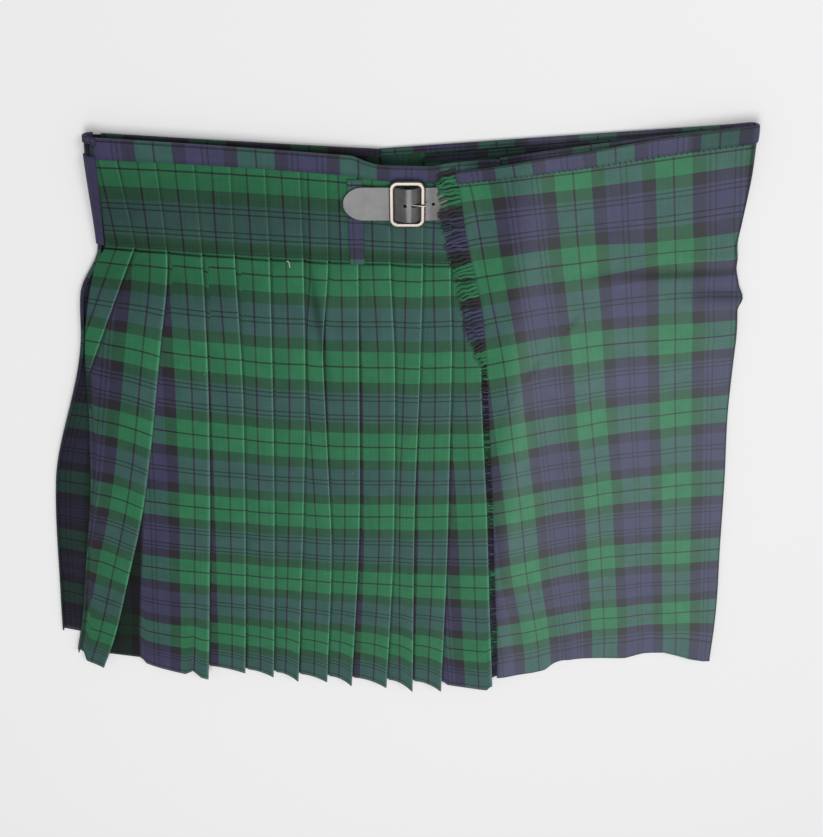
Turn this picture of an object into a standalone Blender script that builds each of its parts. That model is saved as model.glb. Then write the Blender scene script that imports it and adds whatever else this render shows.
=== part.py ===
"""A pleated tartan skirt of the kilt kind, laid flat with its right hip up.

Metres, +Z up. X runs across the skirt, Y from hem to waist, and Z = 0 is what it lies on.
The cloth is one run: over apron, round the right fold, underside pleats, round the left
fold, upper pleats, under apron and round inside the right fold to its free end.
Tables are in millimetres about the middle of the hip.
"""

import math
from collections import namedtuple

import bmesh
import bpy
import numpy as np

MM = 0.001

# Cloth and how its layers stack, in millimetres.
WALL = 1.0
SEAM = 0.3
LEVEL = 1.4
TURN = LEVEL / 2
STEP_OFF = WALL + SEAM
HALF_SETT = 86.0
UNDER_BASE = 0.5
UNDER_LIFT = 1.3
LAYER_LIFT = 2.9
FRONT_BASE = 4.2
FRONT_LIFT = 6.4
STACK = 2 * LEVEL + WALL
RISE = 5.0
RISE_START = 0.8
UNDERLAP = 12.0
TURN_STEPS = 3
LEAST_DEPTH = 3.0
PLEAT_CLEAR = 2.0
FACE_SHARE = 0.25

# Upper pleats: each section's height on the cloth in half setts, how far the waistband
# lifts it, its Y at three places across, the panel's left edge, and the hem's curl.
FRONT_X = (-300.0, -120.0, 60.0)
Front = namedtuple("Front", "name setts lift left_y mid_y right_y edge_x curl opened")
FRONT = (
    Front("top", -0.35, 1.0, 284.5, 272.5, 257.0, -266.0, 0.0, 0.0),
    Front("band", -0.17, 1.0, 267.5, 258.0, 241.0, -267.0, 0.0, 0.0),
    Front("fell", 0.77, 0.0, 189.5, 175.5, 168.0, -272.0, 0.0, 0.0),
    Front("green 1", 1.0, 0.0, 173.0, 155.5, 152.0, -282.3, 0.0, 0.0),
    Front("green 2", 2.0, 0.0, 90.0, 65.5, 62.0, -305.2, 0.0, 0.0),
    Front("green 3", 3.0, 0.0, 2.0, -24.5, -29.0, -316.0, 0.0, 0.0),
    Front("green 4", 4.0, 0.0, -90.5, -112.5, -115.0, -329.0, 0.0, 1.0),
    Front("green 5", 5.0, 0.0, -179.0, -200.0, -211.0, -347.0, 0.8, 12.0),
    Front("green 6", 6.0, 0.0, -269.0, -287.0, -300.0, -366.0, 2.5, 27.0),
    Front("hem", 6.65, 0.0, -318.0, -342.0, -356.0, -378.0, 5.0, 40.0),
)

# Upper pleats: the X of each free crease at five sections, and how far its tip hangs
# below the hem's own line: a low power of its share rounds the whole of a wide face.
Crease = namedtuple("Crease", "waist fell green_2 green_4 hem tip round")
CREASE_SETTS = (-0.35, 0.77, 2.0, 4.0, 6.65)
CREASES = (
    Crease(-250.0, -246.0, -292.0, -326.0, -375.0, 0.0, 2),
    Crease(-216.0, -218.0, -238.0, -277.0, -350.0, 17.5, 0.1),
    Crease(-184.0, -187.0, -193.0, -208.0, -233.0, 16.4, 0.1),
    Crease(-153.0, -158.0, -161.0, -172.0, -190.0, 2.0, 2),
    Crease(-124.0, -127.0, -132.0, -142.0, -158.0, 3.0, 2),
    Crease(-95.0, -97.0, -101.0, -112.0, -130.0, 8.0, 2),
    Crease(-72.0, -75.0, -84.0, -84.0, -97.0, 4.0, 2),
    Crease(-47.0, -48.0, -50.0, -54.0, -69.0, 9.0, 2),
    Crease(-18.0, -19.0, -16.0, -18.0, -29.0, 9.0, 2),
    Crease(10.0, 10.0, 8.0, 3.0, 1.0, 11.0, 2),
    Crease(35.0, 35.0, 38.0, 38.0, 34.0, 10.0, 2),
    Crease(62.0, 62.0, 66.0, 78.0, 93.0, 7.0, 0.1),
)

# Underside pleats: Y at three places across, the left fold's outline and its radius.
BACK_X = (-380.0, -120.0, 60.0)
BACK_PLEATS = 8
Back = namedtuple("Back", "name setts lift left_y mid_y right_y join_x fold_x fold_up")
BACK = (
    Back("top", -0.35, 1.0, 292.0, 276.5, 271.0, -28.0, -275.5, 6.05),
    Back("band", -0.17, 1.0, 275.0, 259.5, 254.0, -27.0, -277.0, 6.05),
    Back("fell", 0.77, 0.0, 196.0, 176.0, 170.0, -22.0, -279.5, 3.5),
    Back("bulge", 1.4, 0.0, 148.0, 122.0, 116.0, -17.0, -303.0, 3.5),
    Back("green 2", 2.0, 0.0, 98.0, 68.0, 62.0, -13.0, -311.0, 3.5),
    Back("green 4", 4.0, 0.0, -70.0, -108.0, -114.0, 1.0, -363.0, 2.0),
    Back("green 6", 6.0, 0.0, -222.0, -278.0, -290.0, 15.0, -384.0, 2.0),
    Back("hem", 6.65, 0.0, -279.0, -327.0, -338.0, 20.0, -391.0, 2.0),
)

# Over apron: its left edge, middle and right fold, and the height of the left edge.
Apron = namedtuple("Apron", "name setts lift left_x left_y mid_y fold_x fold_y left_up")
OVER = (
    Apron("top", -0.20, 1.0, 37.0, 258.5, 279.0, 289.5, 298.0, 3.8),
    Apron("band", -0.02, 1.0, 40.0, 244.5, 262.5, 290.5, 281.5, 3.8),
    Apron("yoke", 0.40, 0.47, 46.0, 208.0, 225.0, 292.5, 243.0, 5.8),
    Apron("fell", 0.77, 0.0, 52.5, 175.0, 191.0, 292.0, 208.0, 5.0),
    Apron("green 1", 1.0, 0.0, 58.0, 154.0, 170.5, 290.5, 186.0, 4.6),
    Apron("notch", 1.45, 0.0, 66.0, 113.0, 131.0, 300.5, 141.0, 4.4),
    Apron("green 2", 2.0, 0.0, 71.0, 64.5, 84.0, 304.5, 97.0, 4.4),
    Apron("green 3", 3.0, 0.0, 78.0, -25.5, -1.0, 309.5, 15.0, 1.7),
    Apron("green 4", 4.0, 0.0, 84.5, -113.0, -87.5, 319.5, -74.0, 1.7),
    Apron("green 5", 5.0, 0.0, 90.0, -201.0, -170.5, 328.0, -160.0, 1.7),
    Apron("green 6", 6.0, 0.0, 96.5, -285.0, -256.0, 337.0, -247.0, 1.9),
    Apron("hem", 6.68, 0.0, 100.5, -349.0, -316.0, 341.5, -323.0, 2.2),
)
UNDER = (
    Apron("top", -0.20, 1.0, 74.5, 264.0, 281.5, 289.5, 297.5, 0.0),
    Apron("band", -0.02, 1.0, 74.5, 246.0, 264.5, 290.5, 281.0, 0.0),
    Apron("yoke", 0.40, 0.47, 74.5, 209.0, 226.0, 292.5, 243.0, 0.0),
    Apron("fell", 0.77, 0.0, 74.5, 175.0, 191.0, 292.0, 208.0, 0.0),
    Apron("green 1", 1.0, 0.0, 75.5, 154.0, 170.5, 290.5, 186.0, 0.0),
    Apron("notch", 1.45, 0.0, 77.5, 113.0, 131.0, 300.5, 141.0, 0.0),
    Apron("green 2", 2.0, 0.0, 79.5, 66.0, 84.0, 304.5, 97.0, 0.0),
    Apron("green 3", 3.0, 0.0, 85.5, -23.0, 0.0, 309.5, 15.0, 0.0),
    Apron("green 4", 4.0, 0.0, 92.0, -110.0, -86.0, 319.5, -74.0, 0.0),
    Apron("green 5", 5.0, 0.0, 98.0, -197.0, -169.0, 328.0, -160.0, 0.0),
    Apron("green 6", 6.0, 0.0, 104.0, -280.0, -253.0, 337.0, -245.0, 0.0),
    Apron("hem", 6.60, 0.0, 108.5, -330.0, -302.0, 340.2, -308.0, 0.0),
)
OVER_COLUMNS = (0.0, 0.05, 0.11, 0.18, 0.26, 0.36, 0.46, 0.56, 0.66, 0.75, 0.83, 0.91, 1.0)
UNDER_COLUMNS = (0.0, 0.08, 0.18, 0.3, 0.45, 0.6, 0.75, 0.9, 1.0)
BELOW_COLUMNS = (0.1, 0.25, 0.4, 0.55, 0.7, 0.85, 1.0)
FOLD_STEPS = 6
APRON_BLEND = 62.0
APRON_START = (4.0, 6.0)
RETURN_DROP = 3.0
BELOW_RAISE = 0.12
HEM_TUCK = 16.0
UNDER_FREE_X = (11.0, 38.0)
ROUND_CORNER = 0.1
FOLD_EASE = 0.8

# Soft ridges that lift the over apron clear of the layer beneath it.
Ridge = namedtuple("Ridge", "name x y half_length turn width height")
RIDGES = (
    Ridge("above the notch", 276.0, 182.0, 34.0, -8.0, 15.0, 4.0),
    Ridge("below the notch", 280.0, 98.0, 42.0, 4.0, 17.0, 3.4),
    Ridge("long fold, middle", 168.0, -40.0, 150.0, 98.0, 20.0, 1.8),
    Ridge("long fold, hem", 232.0, -250.0, 90.0, 96.0, 18.0, 2.6),
    Ridge("hem corner", 128.0, -310.0, 60.0, 100.0, 16.0, 4.0),
)

# Waistband: how far it turns down inside, and how far it lies from the cloth's middle.
BAND_INSIDE = 4.0
BAND_REACH = STEP_OFF
BAND_REACH_PLEATS = STACK / 2 + SEAM + WALL / 2
BAND_FRONT_COLUMNS = 16
BAND_FRONT_END = 38.0
BAND_BACK_INSET = (1.0, 14.0)
BAND_TURN = (60.0, 20.0, -20.0, -60.0)

# Belt loops.
LOOP_WALL = 1.0
LOOP_HIP_X = (-55.0, -42.0)
LOOP_HIP_Y = (249.0, 168.5)
LOOP_SIDE_WIDTH = 15.0
LOOP_SIDE_SETTS = (-0.12, 0.3, 0.74)
LOOP_SIDE_BEND = 118.0

# Strap and buckle. Heights are above the pleats' upper face.
STRAP_Y = 227.6
STRAP_WIDTH = 30.6
STRAP_THICK = 2.2
STRAP_TIP_X = -59.3
STRAP_TIP_LENGTH = 17.0
STRAP_TIP_SHARES = (0.06, 0.25, 0.55)
STRAP_TIP_POINT = 1.15
StrapStation = namedtuple("StrapStation", "x up")
STRAP = (
    StrapStation(-42.0, 2.9),
    StrapStation(-26.0, 2.9),
    StrapStation(-16.0, 3.0),
    StrapStation(-11.0, 4.6),
    StrapStation(-6.5, 7.2),
    StrapStation(-3.4, 8.1),
    StrapStation(-0.6, 8.1),
    StrapStation(2.4, 7.0),
    StrapStation(6.2, 3.6),
    StrapStation(9.5, 2.8),
    StrapStation(14.0, 2.7),
    StrapStation(20.0, 1.7),
    StrapStation(30.0, 1.4),
    StrapStation(46.0, 1.4),
    StrapStation(66.0, 1.4),
)
HOLE_X = (18.9, -5.6)
HOLE_RADIUS = 1.5
PRONG_HOLE_X = 3.4
PRONG_HOLE_SIZE = (7.6, 3.4)
BUCKLE_X = (-19.3, 12.0)
BUCKLE_Y = (206.6, 249.4)
BUCKLE_BAR = 2.3
BUCKLE_FLAT = 0.66
BUCKLE_CORNER = 7.5
BUCKLE_UP = 5.9
MIDDLE_BAR_X = -2.0
MIDDLE_BAR_UP = 3.7
MIDDLE_BAR_RADIUS = 1.2
MIDDLE_BAR_END = (3.0, 0.6)
PRONG_RADIUS = 0.7
PRONG_UP = 8.3
PRONG_TURNS = (-20, -70, -120, -170, -220, -265, -290)
PRONG_RUN = ((4.0, 7.0), (7.6, 8.2))
PRONG_OVERHANG = 1.6
TAB_THICK = 1.1
TAB_WIDTH = 22.0
TAB_SLOT = 4.4
TAB_FLAT_X = (-31.0, -20.0, -10.0)
TAB_RISE = (-3.4, 1.1)
TAB_TURNS = (250, 290, 330, 370, 410, 450, 480)
TAB_SLOT_FROM = 2

# Fringe.
FRINGE_Y = (255.0, 66.0)
FRINGE_STRANDS = 66
STRAND_SHARE = 0.6
STRIP_WIDTH = 2.6
STRAND_LENGTH = 13.5
STRAND_DROP = 2.5
STRAND_STEPS = 2
STRAND_CLEAR = 0.9
STRAND_UNEVEN = (0.12, 1.2)
BAND_COVER = 4.0
STRAP_COVER = (4.0, 2.8)

MATERIALS = {
    "tartan": ((0.025, 0.085, 0.055, 1.0), 0.85, 0.0),
    "waistband": ((0.035, 0.04, 0.085, 1.0), 0.85, 0.0),
    "leather": ((0.06, 0.058, 0.062, 1.0), 0.42, 0.0),
    "polished_steel": ((0.8, 0.78, 0.74, 1.0), 0.16, 1.0),
}


def clear_scene():
    """Remove what the scene starts with."""
    for item in list(bpy.data.objects):
        bpy.data.objects.remove(item, do_unlink=True)


def make_material(name):
    """A plain shaded finish by its name."""
    colour, roughness, metallic = MATERIALS[name]
    material = bpy.data.materials.new(name)
    material.use_nodes = True
    shader = material.node_tree.nodes["Principled BSDF"]
    shader.inputs["Base Color"].default_value = colour
    shader.inputs["Roughness"].default_value = roughness
    shader.inputs["Metallic"].default_value = metallic
    return material


def through_three(x, places, values):
    """The parabola through three points, at x."""
    (a, b, c), (p, q, r) = places, values
    return (
        p * (x - b) * (x - c) / ((a - b) * (a - c))
        + q * (x - a) * (x - c) / ((b - a) * (b - c))
        + r * (x - a) * (x - b) / ((c - a) * (c - b))
    )


def crease_x(crease, setts):
    """Where a crease lies across the skirt, at a height on the cloth."""
    return float(np.interp(setts, CREASE_SETTS, crease[:5]))


def ease(value):
    """A smooth step from 0 to 1."""
    value = min(max(value, 0.0), 1.0)
    return value * value * (3.0 - 2.0 * value)


def half_turn(centre, level, first, last):
    """Points of a fold in the pleats, as (across, level), from one angle to another."""
    angles = [math.radians(first + (last - first) * i / TURN_STEPS) for i in range(TURN_STEPS + 1)]
    return [(centre + TURN * math.cos(a), level + 0.5 * math.sin(a)) for a in angles]


def pleat_depth(spacing, opened):
    """How far a pleat's cloth goes under its face."""
    most = spacing - opened - RISE - PLEAT_CLEAR
    return min(max((HALF_SETT - spacing) / 2, LEAST_DEPTH), most)


def pleated_line(start, creases, opened, end):
    """A section across knife pleats whose free creases point forward.

    Each point is (across, level, share): level 2 is the face, 0 the deepest layer, and
    share runs from 0 where a face comes up to 1 at its crease.
    """
    line = [(start, 2.0, 0.0)]
    before = start
    for place, crease in enumerate(creases):
        gap = opened if place == 2 else 0.0
        if place == 0:
            depth = min(HALF_SETT / 3, crease - start - RISE_START)
            face = start
        else:
            rise = before + gap + RISE_START
            line.append((rise, 0.0, 0.0))
            face = rise + RISE
            line.append((face, 2.0, 0.0))
            depth = pleat_depth(crease - before, gap)
        line.append(((face + crease - TURN) / 2, 2.0, FACE_SHARE))
        line += [(x, z, 1.0) for x, z in half_turn(crease - TURN, 1.5, 90, -90)]
        inner = crease - depth
        line += [(x, z, 0.0) for x, z in half_turn(inner + TURN, 0.5, 90, 270)]
        before = crease
    line.append((end, 0.0, 0.0))
    return line


def front_base(lift):
    """The height under the upper pleats' deepest layer."""
    return FRONT_BASE + FRONT_LIFT * lift


def front_face(lift):
    """The height of the upper pleats' face, on its outer side."""
    return front_base(lift) + STACK


def front_section(row):
    """One section across the upper pleats."""
    creases = [crease_x(crease, row.setts) for crease in CREASES]
    end = creases[-1] + UNDERLAP
    points = []
    crease_number = 0
    hem_share = max(0.0, (row.setts - 5.0) / (FRONT[-1].setts - 5.0))
    for x, level, share in pleated_line(row.edge_x, creases, row.opened, end):
        y = through_three(x, FRONT_X, (row.left_y, row.mid_y, row.right_y))
        y -= CREASES[crease_number].tip * share ** CREASES[crease_number].round * hem_share
        z = front_base(row.lift) + WALL / 2 + LEVEL * level + row.curl * share * share
        points.append((x, y, z))
        if share == 1.0 and level <= 1.0 + 1e-6:
            crease_number = min(crease_number + 1, len(CREASES) - 1)
    x, y, z = points[-1]
    points[-1] = (x, y + HEM_TUCK * hem_share, z)
    return points


def back_height(lift):
    """The middle of the lowest cloth, which rests on the surface or on its waistband."""
    return UNDER_BASE + UNDER_LIFT * lift


def back_section(row):
    """One section across the underside pleats and round the left fold."""
    span = row.join_x - row.fold_x
    creases = [span * (i + 1) / (BACK_PLEATS + 1) for i in range(BACK_PLEATS)]
    radius = row.fold_up
    end = creases[-1] + RISE_START
    line = pleated_line(0.0, creases, 0.0, end)
    line += [(end + RISE, 2.0, 0.0), (span - radius - WALL / 2, 2.0, 0.0)]
    floor = back_height(row.lift)
    points = []
    for across, level, _ in line:
        x = row.join_x - across
        points.append((x, floor + LEVEL * (2.0 - level)))
    centre = row.fold_x + WALL / 2 + radius
    for i in range(1, FOLD_STEPS + 1):
        angle = math.radians(-90 - 180 * i / FOLD_STEPS)
        points.append((centre + radius * math.cos(angle), floor + radius + radius * math.sin(angle)))
    heights = (row.left_y, row.mid_y, row.right_y)
    return [(x, through_three(x, BACK_X, heights), z) for x, z in points]


def layer_height(number, lift):
    """The middle of one of the four cloth layers on the right, from the lowest, 0."""
    return back_height(lift) + number * (LEVEL + LAYER_LIFT * lift)


def ridge_height(x, y):
    """How far the ridges lift the over apron at a place."""
    total = 0.0
    for ridge in RIDGES:
        turn = math.radians(ridge.turn)
        along = (x - ridge.x) * math.cos(turn) + (y - ridge.y) * math.sin(turn)
        across = (y - ridge.y) * math.cos(turn) - (x - ridge.x) * math.sin(turn)
        fall = (along / ridge.half_length) ** 2 + (across / ridge.width) ** 2
        total += ridge.height * math.exp(-fall)
    return total


def over_left_height(row):
    """The height of the over apron's left part, which lies on the pleats."""
    return layer_height(3, row.lift) + row.left_up


def apron_y(row, x):
    """Y along one section of an apron."""
    middle = (row.left_x + row.fold_x) / 2
    return through_three(x, (row.left_x, middle, row.fold_x), (row.left_y, row.mid_y, row.fold_y))


def wrap_section(row, columns, top_height, low_height, inset, end_x):
    """A section over the top, round the right fold and back below to end_x."""
    fold_top = top_height(row.fold_x)
    radius = (fold_top - low_height) / 2
    centre = row.fold_x - WALL / 2 - inset - radius
    points = [(row.left_x + (centre - row.left_x) * share) for share in columns]
    points = [(x, apron_y(row, x), top_height(x)) for x in points]
    points[-1] = (centre, points[-1][1], fold_top)
    for i in range(1, FOLD_STEPS + 1):
        angle = math.radians(90 - 180 * i / FOLD_STEPS)
        x = centre + radius * math.cos(angle)
        z = low_height + radius + radius * math.sin(angle)
        points.append((x, apron_y(row, min(x, row.fold_x)), z))
    return points, centre


def over_section(row):
    """One section of the over apron: upper layer, right fold and underside."""
    left_height = over_left_height(row)
    flat = layer_height(3, row.lift)
    crease = crease_x(CREASES[-1], row.setts)
    start = max(crease + APRON_START[0], row.left_x + APRON_START[1])

    def top_height(x):
        share = ease((x - start) / APRON_BLEND)
        y = apron_y(row, min(x, row.fold_x))
        return left_height + (flat - left_height) * share + ridge_height(x, y) * share

    low = layer_height(0, row.lift)
    join = float(np.interp(row.setts, [b.setts for b in BACK], [b.join_x for b in BACK])) + SEAM
    points, centre = wrap_section(row, OVER_COLUMNS, top_height, low, 0.0, join)
    for share in BELOW_COLUMNS:
        x = centre + (join - centre) * share
        points.append((x, below_y(row, x, join), low))
    return points


def below_y(row, x, join):
    """Y on the underside of the aprons, from the fold to where the pleats begin."""
    heights = [[getattr(b, name) for b in BACK] for name in ("left_y", "mid_y", "right_y")]
    setts = [b.setts for b in BACK]
    level = row.setts - BELOW_RAISE * row.lift
    at_join = [float(np.interp(level, setts, h)) for h in heights]
    start_y = through_three(join, BACK_X, at_join)
    share = (x - join) / (row.fold_x - join)
    hem_share = max(0.0, (row.setts - 5.0) / (BACK[-1].setts - 5.0))
    tuck = HEM_TUCK * hem_share * ease(8.0 * min(share, 1.0 - share))
    return start_y + (apron_y(row, row.fold_x) - start_y) * share + tuck


def under_section(row):
    """One section of the under apron: upper layer, inner fold and the return below."""
    left_height = front_base(row.lift) + WALL / 2
    flat = layer_height(2, row.lift)

    def top_height(x):
        share = ease((x - row.left_x) / APRON_BLEND)
        return left_height + (flat - left_height) * share

    low = layer_height(1, row.lift)
    inset = LEVEL + LAYER_LIFT * row.lift
    inset += FOLD_EASE * ridge_height(row.fold_x, row.fold_y) / 2
    end = float(np.interp(row.setts, (UNDER[0].setts, UNDER[-1].setts), UNDER_FREE_X))
    points, centre = wrap_section(row, UNDER_COLUMNS, top_height, low, inset, end)
    for share in BELOW_COLUMNS:
        x = centre + (end - centre) * share
        points.append((x, below_y(row, x, end) - RETURN_DROP * row.lift, low))
    return points


def away_from(points):
    """Unit normals of a section in X and Z, to the left of its direction reversed."""
    line = np.array(points)
    step = np.gradient(line[:, [0, 2]], axis=0)
    step /= np.linalg.norm(step, axis=1)[:, None]
    return np.column_stack([-step[:, 1], np.zeros(len(line)), step[:, 0]])


def band_rows(top, low, reach):
    """The binding's rows: down the outside, over the top edge and a little way inside."""
    top, low = np.array(top), np.array(low)
    out_top, out_low = away_from(top), away_from(low)
    upward = np.array([0.0, 1.0, 0.0])
    rows = [low + reach * out_low, (low + top) / 2 + reach * (out_low + out_top) / 2]
    for turn in BAND_TURN:
        angle = math.radians(turn)
        out = math.sin(angle) * reach / math.sin(math.radians(BAND_TURN[0]))
        up = STEP_OFF * math.cos(angle) + SEAM
        if abs(turn) == BAND_TURN[0]:
            up = ROUND_CORNER
        rows.append(top + out * out_top + up * upward)
    inside = top + (low - top) * (BAND_INSIDE / np.linalg.norm(low - top, axis=1))[:, None]
    rows.append(inside - reach * out_top)
    return rows


def flat_middle(section, height, first, last, count):
    """An even line across a pleated stack, at its middle height."""
    row_y, places = section
    spots = np.linspace(first, last, count)
    return [(x, through_three(x, places, row_y), height) for x in spots]


def cloth(name, rows, material, thickness=WALL):
    """A wall of cloth through rows of points in millimetres."""
    grid = np.array(rows) * MM
    count, across = grid.shape[:2]
    faces = [
        (i * across + j, i * across + j + 1, (i + 1) * across + j + 1, (i + 1) * across + j)
        for i in range(count - 1)
        for j in range(across - 1)
    ]
    mesh = bpy.data.meshes.new(name)
    mesh.from_pydata(grid.reshape(-1, 3).tolist(), [], faces)
    return solid_sheet(name, mesh, material, thickness)


def solid_sheet(name, mesh, material, thickness):
    """An object whose open surface is given a wall."""
    mesh.materials.append(material)
    item = bpy.data.objects.new(name, mesh)
    wall = item.modifiers.new("wall", "SOLIDIFY")
    wall.thickness = thickness * MM
    wall.offset = 0.0
    wall.use_even_offset = True
    mesh.shade_smooth()
    mesh.set_sharp_from_angle(angle=math.radians(40))
    return item


def lift_at(x, y):
    """The waistband's lift at a place on the upper pleats."""
    band = through_three(x, FRONT_X, (FRONT[1].left_y, FRONT[1].mid_y, FRONT[1].right_y))
    fell = through_three(x, FRONT_X, (FRONT[2].left_y, FRONT[2].mid_y, FRONT[2].right_y))
    return min(max((y - fell) / (band - fell), 0.0), 1.0)


def on_face(x, y, up):
    """A point a given height above the upper pleats' face."""
    return (x, y, front_face(lift_at(x, y)) + up)


def belt_loop_hip(material):
    """The narrow loop beside the strap's tip."""
    rows = []
    for y in np.linspace(*LOOP_HIP_Y, 6):
        rows.append([on_face(x, y, SEAM + LOOP_WALL / 2) for x in np.linspace(*LOOP_HIP_X, 3)])
    return cloth("belt_loop_hip", rows, material, LOOP_WALL)


def belt_loop_side(material):
    """The loop down the left fold, bent round it."""
    setts = [row.setts for row in FRONT]
    back_setts = [row.setts for row in BACK]
    rows = []
    for height in LOOP_SIDE_SETTS:
        lift = float(np.interp(height, setts, [row.lift for row in FRONT]))
        fold = float(np.interp(height, back_setts, [row.fold_x for row in BACK]))
        radius = float(np.interp(height, back_setts, [row.fold_up for row in BACK]))
        heights = [[row.left_y, row.mid_y, row.right_y] for row in FRONT]
        section = [float(np.interp(height, setts, column)) for column in zip(*heights)]
        centre = fold + WALL / 2 + radius
        reach = radius + STEP_OFF
        middle = back_height(lift) + radius
        line = [(centre + LOOP_SIDE_WIDTH - radius, middle + reach)]
        for i in range(FOLD_STEPS):
            angle = math.radians(90 + LOOP_SIDE_BEND * i / (FOLD_STEPS - 1))
            line.append((centre + reach * math.cos(angle), middle + reach * math.sin(angle)))
        rows.append([(x, through_three(x, FRONT_X, section), z) for x, z in line])
    return cloth("belt_loop_side", rows, material, LOOP_WALL)


def strap_cutters():
    """Cutters for the punched holes and the slot that the prong comes through."""
    cutters = []
    for x in HOLE_X:
        bpy.ops.mesh.primitive_cylinder_add(
            vertices=12,
            radius=HOLE_RADIUS * MM,
            depth=30 * MM,
            location=(x * MM, STRAP_Y * MM, 16 * MM),
        )
        cutters.append(bpy.context.object)
    bpy.ops.mesh.primitive_cylinder_add(
        vertices=12,
        radius=0.5 * MM,
        depth=30 * MM,
        location=(PRONG_HOLE_X * MM, STRAP_Y * MM, 16 * MM),
    )
    slot = bpy.context.object
    slot.scale = (PRONG_HOLE_SIZE[0], PRONG_HOLE_SIZE[1], 1.0)
    cutters.append(slot)
    return cutters


def strap(material):
    """The leather strap: pointed tip, over the buckle's middle bar, under the apron."""
    rows = []
    half = STRAP_WIDTH / 2
    for share in STRAP_TIP_SHARES:
        wide = math.sqrt(1.0 - (1.0 - share) ** 2) ** STRAP_TIP_POINT
        x = STRAP_TIP_X + STRAP_TIP_LENGTH * share
        rows.append([(x, STRAP_Y + half * wide * s, STRAP[0].up) for s in (1, 0, -1)])
    for station in STRAP:
        rows.append([(station.x, STRAP_Y + half * s, station.up) for s in (1, 0, -1)])
    placed = []
    for row in rows:
        placed.append([on_face(x, y, up) for x, y, up in row])
    return cloth("strap", placed, material, STRAP_THICK)


def flat_ring(corner_x, corner_y, radius):
    """A rounded rectangle's outline, as points."""
    points = []
    corners = ((1, 1, 0), (0, 1, 90), (0, 0, 180), (1, 0, 270))
    for right, upper, first in corners:
        x = corner_x[right] + (radius if right == 0 else -radius)
        y = corner_y[upper] + (radius if upper == 0 else -radius)
        for i in range(4):
            angle = math.radians(first + 30 * i)
            points.append((x + radius * math.cos(angle), y + radius * math.sin(angle)))
    return points


def curve_mesh(name, points, radius, cyclic, sides):
    """A tube along points in millimetres, made a mesh."""
    data = bpy.data.curves.new(name, "CURVE")
    data.dimensions = "3D"
    data.bevel_depth = radius * MM
    data.bevel_resolution = sides
    data.use_fill_caps = not cyclic
    spline = data.splines.new("POLY")
    spline.points.add(len(points) - 1)
    for point, place in zip(spline.points, points):
        point.co = (place[0] * MM, place[1] * MM, place[2] * MM, 1.0)
    spline.use_cyclic_u = cyclic
    holder = bpy.data.objects.new(name, data)
    bpy.context.scene.collection.objects.link(holder)
    graph = bpy.context.evaluated_depsgraph_get()
    mesh = bpy.data.meshes.new_from_object(holder.evaluated_get(graph))
    bpy.data.objects.remove(holder, do_unlink=True)
    bpy.data.curves.remove(data)
    shape = bmesh.new()
    shape.from_mesh(mesh)
    bmesh.ops.remove_doubles(shape, verts=shape.verts, dist=1e-6)
    shape.to_mesh(mesh)
    shape.free()
    return mesh


def squash(mesh, height, share):
    """Flatten a mesh in Z about a height."""
    for vertex in mesh.vertices:
        vertex.co.z = height + (vertex.co.z - height) * share


def buckle_heights():
    """The upper face under the buckle's middle, and the slope there in Y."""
    low = on_face(MIDDLE_BAR_X, BUCKLE_Y[0], 0.0)[2]
    high = on_face(MIDDLE_BAR_X, BUCKLE_Y[1], 0.0)[2]
    return (low + high) / 2, (high - low) / (BUCKLE_Y[1] - BUCKLE_Y[0])


def tilt(mesh):
    """Lay a piece that was made level along the slope under the buckle."""
    base, slope = buckle_heights()
    for vertex in mesh.vertices:
        vertex.co.z += base * MM + slope * (vertex.co.y - STRAP_Y * MM)


def buckle_frame(material, cutters):
    """The rounded frame with the bar across its middle."""
    inner_x = (BUCKLE_X[0] + BUCKLE_BAR, BUCKLE_X[1] - BUCKLE_BAR)
    inner_y = (BUCKLE_Y[0] + BUCKLE_BAR, BUCKLE_Y[1] - BUCKLE_BAR)
    ring = [(x, y, BUCKLE_UP) for x, y in flat_ring(inner_x, inner_y, BUCKLE_CORNER - BUCKLE_BAR)]
    mesh = curve_mesh("buckle_frame", ring, BUCKLE_BAR, True, 3)
    squash(mesh, BUCKLE_UP * MM, BUCKLE_FLAT)
    ends = (inner_y[0], inner_y[1])
    run, sunk = MIDDLE_BAR_END
    rise = (BUCKLE_UP - sunk, MIDDLE_BAR_UP, MIDDLE_BAR_UP, BUCKLE_UP - sunk)
    places = (ends[0], ends[0] + run, ends[1] - run, ends[1])
    route = [(MIDDLE_BAR_X, y, up) for y, up in zip(places, rise)]
    bar_mesh = curve_mesh("buckle_bar", route, MIDDLE_BAR_RADIUS, False, 2)
    for piece in (mesh, bar_mesh):
        tilt(piece)
        piece.materials.append(material)
    frame = bpy.data.objects.new("buckle_frame", mesh)
    bar = bpy.data.objects.new("buckle_bar", bar_mesh)
    cutters.objects.link(bar)
    bar.hide_render = True
    bar.display_type = "WIRE"
    join = frame.modifiers.new("bar", "BOOLEAN")
    join.operation = "UNION"
    join.object = bar
    mesh.shade_smooth()
    mesh.set_sharp_from_angle(angle=math.radians(50))
    return frame


def buckle_prong(material):
    """The prong: a loop round the middle bar, and its tip across the right bar."""
    loop = MIDDLE_BAR_RADIUS + SEAM + PRONG_RADIUS
    tip = BUCKLE_X[1] + PRONG_OVERHANG
    route = []
    for turn in PRONG_TURNS:
        angle = math.radians(turn)
        x = MIDDLE_BAR_X + loop * math.cos(angle)
        route.append((x, STRAP_Y, MIDDLE_BAR_UP + loop * math.sin(angle)))
    route += [(x, STRAP_Y, up) for x, up in PRONG_RUN]
    route.append((tip, STRAP_Y, PRONG_UP))
    mesh = curve_mesh("buckle_prong", route, PRONG_RADIUS, False, 2)
    tilt(mesh)
    mesh.materials.append(material)
    mesh.shade_smooth()
    mesh.set_sharp_from_angle(angle=math.radians(50))
    return bpy.data.objects.new("buckle_prong", mesh)


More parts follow.
